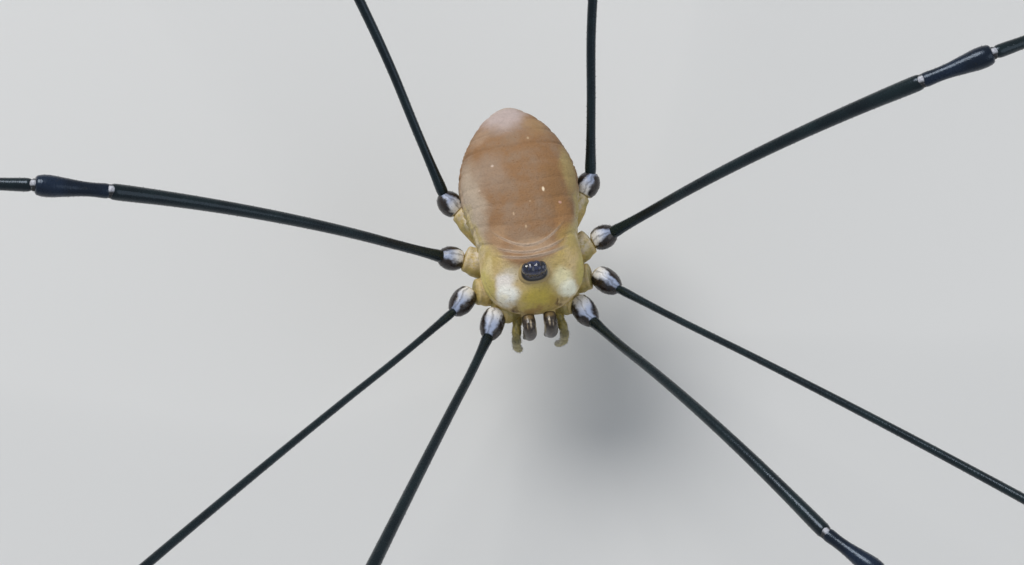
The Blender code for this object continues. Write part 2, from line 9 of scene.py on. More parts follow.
import bmesh
import bpy
import numpy as np
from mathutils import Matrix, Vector


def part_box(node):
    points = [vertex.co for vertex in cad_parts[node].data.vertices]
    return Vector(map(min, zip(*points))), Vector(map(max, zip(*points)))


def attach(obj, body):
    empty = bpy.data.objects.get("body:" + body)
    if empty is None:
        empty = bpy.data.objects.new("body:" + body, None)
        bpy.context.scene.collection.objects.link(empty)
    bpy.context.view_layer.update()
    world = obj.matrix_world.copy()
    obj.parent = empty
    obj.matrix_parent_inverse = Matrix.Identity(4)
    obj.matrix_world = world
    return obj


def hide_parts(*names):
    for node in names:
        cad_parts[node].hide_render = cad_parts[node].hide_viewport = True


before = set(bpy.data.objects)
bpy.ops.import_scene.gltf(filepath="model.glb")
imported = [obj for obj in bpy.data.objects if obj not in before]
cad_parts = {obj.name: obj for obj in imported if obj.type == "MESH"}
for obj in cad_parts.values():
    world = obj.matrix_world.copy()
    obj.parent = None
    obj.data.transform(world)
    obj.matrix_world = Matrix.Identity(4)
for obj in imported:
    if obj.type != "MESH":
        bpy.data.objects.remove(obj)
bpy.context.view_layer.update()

# Camera. The animal was looked down on from in front of its head, a little from its right side,
# so that one millimetre of its body filled 54 pixels. The camera keeps that framing here.
MM = 0.001
MOUND_MIDDLE_Y = -1.27 * MM
MOUND_TOP_Z = 1.16 * MM
CAMERA_RISE = math.radians(70)
CAMERA_TURN = math.radians(-8.5)
CAMERA_DISTANCE = 90 * MM
PIXELS_PER_MM = 54
PICTURE_WIDTH = 1024
SENSOR_WIDTH = 36
AIM = (-0.453, -1.472, 1.001)

mound_low, mound_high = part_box("eye_mound")
BODY_MIDDLE = Vector((
    (mound_low.x + mound_high.x) / 2,
    (mound_low.y + mound_high.y) / 2 - MOUND_MIDDLE_Y,
    mound_high.z - MOUND_TOP_Z,
))


def at(x, y, z):
    """A point given in millimetres from the middle of the body."""
    return BODY_MIDDLE + Vector((x, y, z)) * MM


towards_camera = Vector((
    math.sin(CAMERA_TURN) * math.cos(CAMERA_RISE),
    -math.cos(CAMERA_TURN) * math.cos(CAMERA_RISE),
    math.sin(CAMERA_RISE),
))
camera_data = bpy.data.cameras.new("camera")
camera_data.sensor_width = SENSOR_WIDTH
camera_data.lens = PIXELS_PER_MM * SENSOR_WIDTH * CAMERA_DISTANCE / MM / PICTURE_WIDTH
camera_data.clip_start = 1 * MM
camera_data.clip_end = 5.0
camera = bpy.data.objects.new("camera", camera_data)
camera.location = at(*AIM) + towards_camera * CAMERA_DISTANCE
camera.rotation_euler = towards_camera.to_track_quat("Z", "Y").to_euler()
bpy.context.scene.collection.objects.link(camera)
bpy.context.scene.camera = camera

# Floor and light. A plain pale sheet under the feet, one large soft light high on the animal's
# right and behind it, a weaker one on the other side, and an even pale sky.
FLOOR_SIZE = 3.0
KEY_PLACE = (-60, 95, 150)
KEY_SIZE = 110 * MM
KEY_POWER = 0.26
FILL_PLACE = (130, -60, 110)
FILL_SIZE = 160 * MM
FILL_POWER = 0.06
KEY_COLOUR = (1.0, 0.98, 0.95)
FILL_COLOUR = (0.90, 0.95, 1.0)
SKY_COLOUR = (0.86, 0.92, 1.0)
SKY_STRENGTH = 0.40
PAPER_COLOUR = (0.66, 0.66, 0.655)
PAPER_ROUGHNESS = 0.9


def new_material(name, **constants):
    """A Principled material whose constants, such as coat_weight, are set on its own sockets."""
    made = bpy.data.materials.new(name)
    made.use_nodes = True
    shader = made.node_tree.nodes["Principled BSDF"]
    for key, value in constants.items():
        shader.inputs[key.replace("_", " ").title().replace("Ior", "IOR")].default_value = value
    return made, made.node_tree, shader


def soft_light(name, place, size, power, colour):
    data = bpy.data.lights.new(name, "AREA")
    data.shape = "DISK"
    data.size = size
    data.energy = power
    data.color = colour
    light = bpy.data.objects.new(name, data)
    light.location = at(*place)
    light.rotation_euler = (light.location - BODY_MIDDLE).to_track_quat("Z", "Y").to_euler()
    bpy.context.scene.collection.objects.link(light)


soft_light("key_light", KEY_PLACE, KEY_SIZE, KEY_POWER, KEY_COLOUR)
soft_light("fill_light", FILL_PLACE, FILL_SIZE, FILL_POWER, FILL_COLOUR)
sky = bpy.data.worlds.new("studio")
sky.use_nodes = True
sky.node_tree.nodes["Background"].inputs["Color"].default_value = (*SKY_COLOUR, 1)
sky.node_tree.nodes["Background"].inputs["Strength"].default_value = SKY_STRENGTH
bpy.context.scene.world = sky
bpy.context.scene.view_settings.view_transform = "Standard"

floor_mesh = bmesh.new()
bmesh.ops.create_grid(floor_mesh, x_segments=1, y_segments=1, size=FLOOR_SIZE / 2)
floor_data = bpy.data.meshes.new("floor")
floor_mesh.to_mesh(floor_data)
floor_mesh.free()
floor = bpy.data.objects.new("floor", floor_data)
bpy.context.scene.collection.objects.link(floor)
paper, _, paper_shader = new_material("pale_paper", roughness=PAPER_ROUGHNESS)
paper_shader.inputs["Base Color"].default_value = (*PAPER_COLOUR, 1)
floor_data.materials.append(paper)

# Body. One sheet of leathery cuticle wraps head shield and abdomen. The back is a stiff shield of
# fused rings, with narrow plates in front of it, and the flanks are soft and folded. The first
# segments of the legs, the coxae, are grown to the underside, as are the sockets of the mouthparts.
FRONT_Y = -1.81
REAR_Y = 2.40
WIDEST_Y = 0.75
ABDOMEN_HALF_WIDTH = 1.13
WAIST_Y = -0.55
WAIST_HALF_WIDTH = 0.95
HEAD_SHOULDER_Y = -0.90
HEAD_HALF_WIDTH = 0.97
TALLEST_Y = 0.40
BACK_HEIGHT = 1.00
DEEPEST_Y = 0.80
BELLY_DEPTH = 0.85
REAR_TIP_Z = -0.05
HEAD_REAR_Y = -0.74
BORDER_SWEEP = 0.30
FUSED_BORDERS = (-0.34, 0.08, 0.50, 0.90)
FREE_BORDERS = (1.30, 1.66, 1.97, 2.20)
SEAM_WIDTH = 0.040
SEAM_DEPTH_ON_BACK = 0.009
SEAM_DEPTH_ON_FLANK = 0.020
FREE_SEAM_WIDTH = 0.030
FREE_SEAM_DEPTH = 0.024
BODY_STATIONS = 320
BODY_SIDES = 180

# How each end of the body rounds off: the power and the root that falling takes.
REAR_PLAN = (1.7, 0.65)
HEAD_PLAN = (2.6, 0.5)
REAR_PROFILE = (2.0, 0.70)
BACK_FRONT_PROFILE = (3.2, 0.52)
BELLY_FRONT_PROFILE = (1.5, 0.60)

# Low forms, the same on both sides: the height, then the place and the width across, then along.
# On the head a hollow beside the eye mound, a swelling at each front corner, a ridge down the front
# and a notch beside each jaw, and on the shield four pairs of shallow pits where muscles are fixed.
HEAD_FORMS = (
    (-0.030, 0.46, 0.16, -1.30, 0.20),
    (0.022, 0.62, 0.15, -1.52, 0.15),
    (0.018, 0.0, 0.16, -1.58, 0.16),
    (-0.060, 0.43, 0.055, -1.74, 0.080),
)
SHIELD_PITS = (
    (-0.010, 0.34, 0.040, -0.08, 0.030),
    (-0.010, 0.34, 0.040, 0.34, 0.030),
    (-0.010, 0.34, 0.040, 0.75, 0.030),
    (-0.010, 0.34, 0.040, 1.15, 0.030),
)

# Pale hind edges of the narrow plates behind the eyes, partly a painted ridge highlight: the place in the
# middle, and the bend.
PLATE_EDGES = ((-0.76, 0.90), (-0.885, 0.50), (-0.975, 0.35))
PLATE_HALF_WIDTH = 0.74

# In millimetres on the left side, for each pair of legs: where the coxa starts under the body,
# and where it meets the trochanter.
COXA_ROOTS = {
    1: (0.13, -1.30, -0.44),
    2: (0.14, -1.08, -0.48),
    3: (0.17, -0.88, -0.50),
    4: (0.24, -0.66, -0.52),
}
COXA_ENDS = {
    1: (0.74, -1.58, -0.22),
    2: (1.11, -1.12, -0.22),
    3: (1.21, -0.41, -0.22),
    4: (1.13, 0.57, -0.22),
}
COXA_RADII = (
    (0.0, 0.16), (0.3, 0.235), (0.6, 0.285), (0.80, 0.285),
    (0.90, 0.252), (0.95, 0.248), (0.985, 0.20), (1.0, 0.10),
)
SIDES = {"left": 1, "right": -1}

PLATE_PLACES = (
    (0.0, 1.05, -0.62),
    (0.0, 0.55, -0.72),
    (0.0, 0.0, -0.77),
    (0.0, -0.45, -0.77),
    (0.0, -0.72, -0.72),
)
PLATE_HALF_WIDTHS = (0.22, 0.24, 0.20, 0.15, 0.09)

CHELICERA_SOCKET = (0.20, -1.83, -0.04)
CHELICERA_DIRECTION = (0.0, -1.0, 0.10)
PALP_SOCKET = (0.40, -1.72, -0.40)
PALP_DIRECTION = (0.25, -1.0, -0.05)


def through(stops, shares):
    """Reads values smoothly from stops, each a share of the way and a number or a point.

    Numbers never swing past the stops on either side, so a thickness has no swelling of its own.
    """
    places = np.array([stop[0] for stop in stops], float)
    values = np.array([stop[1] for stop in stops], float)
    flat = values.reshape(len(stops), -1)
    slopes = np.gradient(flat, places, axis=0)
    if values.ndim == 1:
        steps = np.diff(flat, axis=0) / np.diff(places)[:, None]
        turning = steps[:-1] * steps[1:] <= 0
        steepest = 3 * np.minimum(np.abs(steps[:-1]), np.abs(steps[1:]))
        slopes[1:-1] = np.where(turning, 0, np.clip(slopes[1:-1], -steepest, steepest))
    shares = np.clip(np.asarray(shares, float), places[0], places[-1])
    i = np.clip(np.searchsorted(places, shares, side="right") - 1, 0, len(stops) - 2)
    span = (places[i + 1] - places[i])[:, None]
    t = (shares - places[i])[:, None] / span
    near = flat[i] * (2 * t**3 - 3 * t**2 + 1) + slopes[i] * span * (t**3 - 2 * t**2 + t)
    far = flat[i + 1] * (3 * t**2 - 2 * t**3) + slopes[i + 1] * span * (t**3 - t**2)
    return (near + far).reshape((len(shares),) + values.shape[1:])


def loft(name, rings, floats=None):
    """A closed mesh object through rings given in millimetres, drawn together at both ends.

    floats holds attributes by name, with one number for each point of each ring.
    """
    rings = np.asarray(rings, float)
    count, sides = rings.shape[:2]
    points = np.concatenate([rings.reshape(-1, 3), rings[0].mean(0)[None], rings[-1].mean(0)[None]])
    index = np.arange(count * sides).reshape(count, sides)
    beside = np.roll(index, -1, axis=1)
    walls = np.stack([index[:-1], beside[:-1], beside[1:], index[1:]], axis=-1).reshape(-1, 4)
    faces = walls.tolist()
    for ring, pole in ((0, count * sides), (-1, count * sides + 1)):
        faces += [[pole, a, b] for a, b in zip(index[ring].tolist(), beside[ring].tolist())]
    mesh = bpy.data.meshes.new(name)
    mesh.from_pydata((points * MM + np.array(BODY_MIDDLE)).tolist(), [], faces)
    for attribute_name, numbers in (floats or {}).items():
        numbers = np.asarray(numbers, np.float32).reshape(count, sides)
        ends = np.array([numbers[0].mean(), numbers[-1].mean()], np.float32)
        attribute = mesh.attributes.new(attribute_name, "FLOAT", "POINT")
        attribute.data.foreach_set("value", np.concatenate([numbers.ravel(), ends]))
    outwards = bmesh.new()
    outwards.from_mesh(mesh)
    bmesh.ops.recalc_face_normals(outwards, faces=outwards.faces)
    outwards.to_mesh(mesh)
    outwards.free()
    mesh.shade_smooth()
    made = bpy.data.objects.new(name, mesh)
    bpy.context.scene.collection.objects.link(made)
    return made


def tube(name, path, radii, stations, sides, across, attribute=None):
    """A closed tube along stops of its path. across lies along the width of every ring."""
    shares = np.linspace(0, 1, stations)
    centres = through(path, shares)
    thickness = through(radii, shares)
    ahead = np.gradient(centres, axis=0)
    ahead /= np.linalg.norm(ahead, axis=1)[:, None]
    wide = np.array(across, float) - ahead * (ahead @ np.array(across, float))[:, None]
    wide /= np.linalg.norm(wide, axis=1)[:, None]
    tall = np.cross(wide, ahead)
    angles = 2 * np.pi * np.arange(sides) / sides
    spokes = np.cos(angles)[None, :, None] * wide[:, None] + np.sin(angles)[None, :, None] * tall[:, None]
    rings = centres[:, None] + spokes * thickness[:, None, None]
    floats = {attribute: np.repeat(shares, sides)} if attribute else None
    return loft(name, rings, floats)


def straight(start, end):
    return [(0.0, start), (1.0, end)]


def fuse(name, pieces):
    """Joins closed pieces into one skin, creased where they meet."""
    whole, *others = pieces
    group = bpy.data.collections.new(name)
    bpy.context.scene.collection.children.link(group)
    for other in others:
        bpy.context.scene.collection.objects.unlink(other)
        group.objects.link(other)
    union = whole.modifiers.new("union", "BOOLEAN")
    union.operation = "UNION"
    union.solver = "MANIFOLD"
    union.operand_type = "COLLECTION"
    union.collection = group
    bpy.context.view_layer.update()
    graph = bpy.context.evaluated_depsgraph_get()
    whole.data = bpy.data.meshes.new_from_object(whole.evaluated_get(graph))
    whole.modifiers.remove(union)
    whole.name = name
    whole.data.name = name
    whole.data.shade_smooth()
    for other in others:
        bpy.data.objects.remove(other)
    bpy.data.collections.remove(group)
    return whole


def falling(share, power, root):
    """From 1 at share 0 to 0 at share 1, slowly and then steeply, as a rounded end does."""
    return (1 - np.clip(share, 0, 1) ** power) ** root


def easing(low, high, value):
    """From 0 at low to 1 at high, with level ends."""
    share = np.clip((value - low) / (high - low), 0, 1)
    return share * share * (3 - 2 * share)


def half_width(y):
    rear = ABDOMEN_HALF_WIDTH * falling((y - WIDEST_Y) / (REAR_Y - WIDEST_Y), *REAR_PLAN)
    head = HEAD_HALF_WIDTH * falling((HEAD_SHOULDER_Y - y) / (HEAD_SHOULDER_Y - FRONT_Y), *HEAD_PLAN)
    narrowing = (WAIST_HALF_WIDTH - HEAD_HALF_WIDTH) * easing(HEAD_SHOULDER_Y, WAIST_Y, y)
    widening = (ABDOMEN_HALF_WIDTH - WAIST_HALF_WIDTH) * easing(WAIST_Y, WIDEST_Y, y)
    stretches = [y > WIDEST_Y, y < HEAD_SHOULDER_Y, y < WAIST_Y]
    return np.select(stretches, [rear, head, HEAD_HALF_WIDTH + narrowing], WAIST_HALF_WIDTH + widening)


def back_z(y):
    height = BACK_HEIGHT - REAR_TIP_Z
    rear = REAR_TIP_Z + height * falling((y - TALLEST_Y) / (REAR_Y - TALLEST_Y), *REAR_PROFILE)
    front = BACK_HEIGHT * falling((TALLEST_Y - y) / (TALLEST_Y - FRONT_Y), *BACK_FRONT_PROFILE)
    return np.where(y > TALLEST_Y, rear, front)


def belly_z(y):
    depth = BELLY_DEPTH + REAR_TIP_Z
    rear = REAR_TIP_Z - depth * falling((y - DEEPEST_Y) / (REAR_Y - DEEPEST_Y), *REAR_PROFILE)
    front = -BELLY_DEPTH * falling((DEEPEST_Y - y) / (DEEPEST_Y - FRONT_Y), *BELLY_FRONT_PROFILE)
    return np.where(y > DEEPEST_Y, rear, front)


def bump(distance, width):
    return np.exp(-((distance / width) ** 2))


def body_relief(t, rise, x, y):
    """Height of the cuticle's own form above the plain body, in millimetres.

    t is where a ring crosses the middle of the back, and rise is the sine of the angle round it.
    """
    back = easing(0.10, 0.34, rise)
    on_head = 1 - easing(HEAD_REAR_Y - 0.10, HEAD_REAR_Y + 0.05, t)
    behind_head = easing(HEAD_REAR_Y, HEAD_REAR_Y + 0.30, t) * (1 - easing(1.9, 2.25, t))
    height = np.zeros_like(t)
    for border in FUSED_BORDERS:
        depth = SEAM_DEPTH_ON_BACK * back + SEAM_DEPTH_ON_FLANK * (1 - back)
        height -= bump(t - border, SEAM_WIDTH) * depth
    for border in FREE_BORDERS:
        height -= bump(t - border, FREE_SEAM_WIDTH) * FREE_SEAM_DEPTH
    for middle, bend in PLATE_EDGES:
        inside = 1 - easing(PLATE_HALF_WIDTH * 0.75, PLATE_HALF_WIDTH, np.abs(x))
        step = y - middle - bend * x**2
        height += back * inside * (0.014 * bump(step - 0.018, 0.030) - 0.013 * bump(step + 0.024, 0.022))
    for forms, where in ((HEAD_FORMS, on_head * back), (SHIELD_PITS, back)):
        for form, across, width, along, length in forms:
            height += form * where * bump(np.abs(x) - across, width) * bump(y - along, length)
    groove_behind_head = 0.022 * bump(t - HEAD_REAR_Y, 0.035) * (1 - bump(rise - 1, 0.30))
    groove_under_shield = 0.034 * bump(rise - 0.20, 0.055) * behind_head
    groove_under_head = 0.030 * bump(rise - 0.16, 0.06) * on_head
    height -= groove_behind_head + groove_under_shield + groove_under_head
    folds = np.sin(t * 58 + 3 * np.sin(t * 9)) * bump(rise + 0.02, 0.17) * behind_head
    wander = np.sin(x * 7.1 + 1.3 * np.sin(y * 3.7)) * np.sin(y * 5.3 + 1.1) * back
    return height + 0.007 * folds + 0.006 * wander


def body_shell():
    spread = (1 - np.cos(np.pi * (np.arange(BODY_STATIONS) + 0.5) / BODY_STATIONS)) / 2
    t = (FRONT_Y + (REAR_Y - FRONT_Y) * spread)[:, None]
    angle = (2 * np.pi * np.arange(BODY_SIDES) / BODY_SIDES)[None, :]
    side, rise = np.cos(angle), np.sin(angle)
    on_head = BORDER_SWEEP * np.clip((t - FRONT_Y) / (HEAD_REAR_Y - FRONT_Y), 0, 1) ** 2
    behind = BORDER_SWEEP * np.clip((REAR_Y - t) / (REAR_Y - HEAD_REAR_Y), 0, 1) ** 1.5
    y = t + np.where(t < HEAD_REAR_Y, on_head, behind) * side**2
    middle = belly_z(y) + (back_z(y) - belly_z(y)) * 0.52
    reach = np.where(rise >= 0, back_z(y) - middle, middle - belly_z(y))
    power = np.where(rise >= 0, 0.90, 0.82)
    x = np.sign(side) * np.abs(side) ** power * half_width(y)
    z = middle + np.sign(rise) * np.abs(rise) ** power * reach
    rings = np.stack(np.broadcast_arrays(x, y, z), axis=-1)
    t, rise = np.broadcast_arrays(t, rise)
    shell = loft("body_skin", rings, {"shield": easing(0.12, 0.40, rise) * easing(-0.70, -0.55, t)})
    normals = np.zeros(len(shell.data.vertices) * 3, np.float32)
    shell.data.vertices.foreach_get("normal", normals)
    outwards = normals.reshape(-1, 3)[: BODY_STATIONS * BODY_SIDES].reshape(rings.shape)
    height = body_relief(t, rise, rings[..., 0], rings[..., 1])
    raised = (rings + outwards * height[..., None]) * MM + np.array(BODY_MIDDLE)
    flat = np.zeros(len(shell.data.vertices) * 3, np.float32)
    shell.data.vertices.foreach_get("co", flat)
    flat[: raised.size] = raised.ravel()
    shell.data.vertices.foreach_set("co", flat)
    shell.data.update()
    return shell


def mirrored(place, side):
    return np.array((place[0] * side, place[1], place[2]))


def coxa(pair, side):
    path = straight(mirrored(COXA_ROOTS[pair], side), mirrored(COXA_ENDS[pair], side))
    return tube("coxa", path, COXA_RADII, 60, 36, (0, 0, 1), "coxa")


def add_node(tree, kind, inputs=None, **settings):
    """Adds a node. Each input, by name or number, is a value or the socket that feeds it."""
    node = tree.nodes.new(kind)
    for name, value in settings.items():
        setattr(node, name, value)
    for key, value in (inputs or {}).items():
        if isinstance(value, bpy.types.NodeSocket):
            tree.links.new(value, node.inputs[key])
        else:
            node.inputs[key].default_value = value
    return node


def calc(tree, operation, *values):
    """One sum. Returns the socket of its result."""
    return add_node(tree, "ShaderNodeMath", dict(enumerate(values)), operation=operation).outputs[0]


def product(tree, first, *others):
    for other in others:
        first = calc(tree, "MULTIPLY", first, other)
    return first


def vector(tree, operation, *values, scale=None):
    """One sum of vectors. Returns the socket of its result."""
    inputs = dict(enumerate(values))
    if scale is not None:
        inputs["Scale"] = scale
    node = add_node(tree, "ShaderNodeVectorMath", inputs, operation=operation)
    return node.outputs["Value" if operation in ("LENGTH", "DOT_PRODUCT") else "Vector"]


def parts(tree, place):
    return add_node(tree, "ShaderNodeSeparateXYZ", {0: place}).outputs


def attribute(tree, name):
    return add_node(tree, "ShaderNodeAttribute", attribute_name=name).outputs["Fac"]


def eased_node(tree, value, low, high):
    """From 0 where value is low to 1 where it is high."""
    inputs = {"Value": value, "From Min": low, "From Max": high}
    return add_node(tree, "ShaderNodeMapRange", inputs, interpolation_type="SMOOTHSTEP").outputs[0]


def noise(tree, place, scale, detail=2.0, roughness=0.5):
    inputs = {"Vector": place, "Scale": scale, "Detail": detail, "Roughness": roughness}
    return add_node(tree, "ShaderNodeTexNoise", inputs).outputs["Fac"]


def mixed(tree, mask, under, over):
    """Lays one colour over another where the mask says."""
    node = tree.nodes.new("ShaderNodeMix")
    node.data_type = "RGBA"
    tree.links.new(mask, node.inputs[0])
    for socket, colour in ((node.inputs[6], under), (node.inputs[7], over)):
        if isinstance(colour, bpy.types.NodeSocket):
            tree.links.new(colour, socket)
        else:
            socket.default_value = (*colour, 1)
    return node.outputs[2]


def body_millimetres(tree):
    """The place on the piece in millimetres from the middle of the body."""
    inputs = {
        "Vector": add_node(tree, "ShaderNodeTexCoord").outputs["Object"],
        "Location": -BODY_MIDDLE / MM,
        "Scale": (1 / MM, 1 / MM, 1 / MM),
    }
    return add_node(tree, "ShaderNodeMapping", inputs).outputs[0]


def new_group(name, inputs, outputs):
    """A shader node group with named sockets, each a name and its kind and starting value."""
    group = bpy.data.node_groups.new(name, "ShaderNodeTree")
    for label, kind, start in inputs:
        socket = group.interface.new_socket(label, in_out="INPUT", socket_type="NodeSocket" + kind)
        socket.default_value = start
    for label, kind in outputs:
        group.interface.new_socket(label, in_out="OUTPUT", socket_type="NodeSocket" + kind)
    return group, group.nodes.new("NodeGroupInput").outputs, group.nodes.new("NodeGroupOutput").inputs


def make_spot_group():
    """A soft-edged patch of pigment: full at its centre and gone at Size from it."""
    sockets = (
        ("Place", "Vector", (0, 0, 0)),
        ("Centre", "Vector", (0, 0, 0)),
        ("Size", "Vector", (1, 1, 1)),
        ("Core", "Float", 0.3),
    )
    group, given, result = new_group("soft_spot", sockets, (("Mask", "Float"),))
    apart = vector(group, "SUBTRACT", given["Place"], given["Centre"])
    distance = vector(group, "LENGTH", vector(group, "DIVIDE", apart, given["Size"]))
    group.links.new(eased_node(group, distance, 1.0, given["Core"]), result["Mask"])
    return group


def make_grain_group():
    """The fine grain of cuticle: close-set tiny domes, and a soft unevenness under them."""
    sockets = (
        ("Place", "Vector", (0, 0, 0)),
        ("Grain Size", "Float", 0.03),
        ("Unevenness", "Float", 0.5),
    )
    group, given, result = new_group("cuticle_grain", sockets, (("Height", "Float"), ("Mottle", "Float")))
    place = given["Place"]
    per_mm = calc(group, "DIVIDE", 1.0, given["Grain Size"])
    inputs = {"Vector": place, "Scale": per_mm, "Randomness": 0.85}
    cells = add_node(group, "ShaderNodeTexVoronoi", inputs, feature="SMOOTH_F1")
    domes = calc(group, "SUBTRACT", 1.0, cells.outputs["Distance"])
    uneven = noise(group, place, 4.0, 4.0, 0.6)
    mottle = noise(group, place, calc(group, "MULTIPLY", per_mm, 0.55), 3.0, 0.65)
    group.links.new(calc(group, "MULTIPLY_ADD", uneven, given["Unevenness"], domes), result["Height"])
    group.links.new(mottle, result["Mottle"])
    return group


soft_spot = make_spot_group()
cuticle_grain = make_grain_group()

# Pigment of the body, and painted sheen, highlight and shadow in a few patches: the place and reach
# of each patch in millimetres, its colour, and how much it covers. The patches are laid one over
# another, from the first to the last.
SHIELD_BROWN = (0.288, 0.150, 0.063)
SHIELD_DARK = (0.205, 0.105, 0.046)
SHIELD_LILAC = (0.292, 0.186, 0.112)
HEAD_TAN = (0.590, 0.440, 0.215)
HEAD_OLIVE = (0.470, 0.345, 0.112)
HEAD_SPECK = (0.250, 0.150, 0.045)
FLANK_PALE = (0.640, 0.540, 0.360)
FLANK_GOLD = (0.480, 0.370, 0.130)
SHIELD_CENTRE_Y = 0.60
SHIELD_REACH = 1.75
SHIELD_HALF_WIDTH = 1.03
SHIELD_PATCHES = (
    # This lilac-grey patch at the rear tip is painted sheen.
    ((-0.10, 2.10, 0.30), (0.66, 0.75, 0.9), (0.52, 0.43, 0.41), 0.85),
    ((0.50, 1.74, 0.50), (0.34, 0.42, 0.5), (0.38, 0.235, 0.105), 0.60),
    ((-0.62, 1.62, 0.50), (0.28, 0.30, 0.5), (0.41, 0.28, 0.19), 0.6),
    ((-0.98, 0.30, 0.60), (0.44, 1.20, 0.7), (0.520, 0.425, 0.325), 0.85),
    ((-0.55, 0.80, 0.85), (0.46, 0.55, 0.6), (0.340, 0.245, 0.175), 0.65),
    ((0.62, 0.35, 0.85), (0.35, 0.75, 0.6), (0.270, 0.140, 0.050), 0.55),
    ((0.98, 0.75, 0.60), (0.28, 0.80, 0.6), (0.440, 0.335, 0.130), 0.70),
    ((0.74, -0.22, 0.75), (0.28, 0.50, 0.5), (0.390, 0.195, 0.070), 0.70),
    ((0.70, -0.62, 0.70), (0.30, 0.32, 0.5), (0.440, 0.300, 0.090), 0.7),
    ((-0.62, -0.50, 0.85), (0.35, 0.34, 0.5), (0.430, 0.270, 0.150), 0.6),
    ((0.05, -0.78, 0.85), (0.60, 0.22, 0.5), (0.480, 0.330, 0.210), 0.6),
)
HEAD_PATCHES = (
    ((0.0, -1.05, 0.90), (0.75, 0.22, 0.5), (0.480, 0.370, 0.210), 0.7),
    ((0.0, -1.62, 0.40), (0.50, 0.32, 0.5), (0.530, 0.410, 0.058), 0.85),
    ((-0.10, -1.80, 0.20), (0.34, 0.10, 0.3), (0.400, 0.250, 0.060), 0.6),
    ((0.30, -1.72, 0.30), (0.16, 0.14, 0.3), (0.400, 0.260, 0.040), 0.6),
    ((-0.88, -1.20, 0.30), (0.20, 0.50, 0.5), (0.580, 0.500, 0.130), 0.7),
    ((0.90, -1.15, 0.30), (0.20, 0.50, 0.5), (0.560, 0.480, 0.120), 0.7),
    ((-0.36, -1.20, 0.80), (0.30, 0.20, 0.4), (0.580, 0.500, 0.340), 0.6),
    # These cream-white patches in front of the eye mound, on both sides, are pale pigment with a painted
    # highlight in them.
    ((-0.55, -1.31, 0.64), (0.31, 0.27, 0.4), (0.860, 0.800, 0.740), 0.95),
    ((-0.57, -1.53, 0.50), (0.33, 0.23, 0.45), (0.970, 0.950, 0.860), 1.0),
    ((-0.66, -1.60, 0.40), (0.16, 0.12, 0.3), (0.930, 0.850, 0.640), 0.8),
    ((0.52, -1.38, 0.64), (0.32, 0.26, 0.4), (0.760, 0.700, 0.430), 0.85),
    ((0.66, -1.55, 0.44), (0.27, 0.18, 0.4), (0.970, 0.950, 0.760), 1.0),
    ((0.0, -1.76, 0.10), (0.42, 0.07, 0.3), (0.300, 0.160, 0.050), 0.6),
    # These two dark spots beside the jaws are painted shadow in the notches of the front edge.
    ((-0.44, -1.73, 0.22), (0.11, 0.07, 0.25), (0.080, 0.035, 0.012), 0.95),
    ((0.42, -1.73, 0.25), (0.12, 0.08, 0.25), (0.120, 0.060, 0.015), 0.95),
    ((-0.80, -0.95, 0.60), (0.12, 0.30, 0.4), (0.720, 0.600, 0.330), 0.6),
    ((0.40, -1.02, 0.85), (0.30, 0.20, 0.4), (0.580, 0.420, 0.140), 0.6),
)
FLECKS = (
    ((0.40, 0.30, 0.95), (0.034, 0.062, 0.1), (0.950, 0.780, 0.560), 1.0),
    ((-0.47, 0.92, 0.88), (0.040, 0.036, 0.1), (0.700, 0.560, 0.460), 0.7),
    ((0.68, 0.04, 0.82), (0.045, 0.036, 0.1), (0.720, 0.420, 0.340), 0.8),
    ((0.12, 0.08, 0.99), (0.030, 0.024, 0.1), (0.600, 0.420, 0.260), 0.5),
    ((-0.22, -0.12, 0.97), (0.024, 0.050, 0.1), (0.600, 0.430, 0.280), 0.6),
    ((-0.03, -0.40, 0.98), (0.026, 0.044, 0.1), (0.640, 0.470, 0.300), 0.6),
    ((0.28, 1.42, 0.77), (0.034, 0.045, 0.1), (0.640, 0.480, 0.300), 0.6),
    ((-0.78, 0.50, 0.80), (0.034, 0.028, 0.1), (0.640, 0.500, 0.380), 0.6),
)
COXA_GOLD = (0.520, 0.380, 0.110)
COXA_OLIVE = (0.330, 0.270, 0.080)
COXA_PALE = (0.780, 0.700, 0.620)
COXA_RIM = (0.600, 0.460, 0.220)
PLATE_EDGE_PALE_AND_HIGHLIGHT = (0.680, 0.520, 0.390)


def spotted(tree, place, colour, patches):
    """Lays soft patches of pigment, one after another, over a colour."""
    for centre, size, pigment, cover in patches:
        inputs = {"Place": place, "Centre": centre, "Size": size}
        spot = add_node(tree, "ShaderNodeGroup", inputs, node_tree=soft_spot)
        colour = mixed(tree, calc(tree, "MULTIPLY", spot.outputs["Mask"], cover), colour, pigment)
    return colour


def grain(tree, place, size, unevenness):
    inputs = {"Place": place, "Grain Size": size, "Unevenness": unevenness}
    node = add_node(tree, "ShaderNodeGroup", inputs, node_tree=cuticle_grain)
    return node.outputs["Height"], node.outputs["Mottle"]


def finish_cuticle(tree, shader, colour, roughness, height, relief):
    """Feeds the shader. roughness is three numbers or sockets: the first times the second, and the third."""
    tree.links.new(colour, shader.inputs["Base Color"])
    tree.links.new(calc(tree, "MULTIPLY_ADD", *roughness), shader.inputs["Roughness"])
    raised = add_node(tree, "ShaderNodeBump", {"Height": height, "Distance": relief * MM})
    tree.links.new(raised.outputs[0], shader.inputs["Normal"])


def ragged(tree, place):
    """The place pushed about a little, so that a patch on it gets an uneven edge."""
    inputs = {"Vector": place, "Scale": 3.5, "Detail": 3.0}
    wander = add_node(tree, "ShaderNodeTexNoise", inputs).outputs["Color"]
    shift = vector(tree, "SCALE", vector(tree, "SUBTRACT", wander, (0.5, 0.5, 0.5)), scale=0.30)
    return vector(tree, "ADD", place, shift)


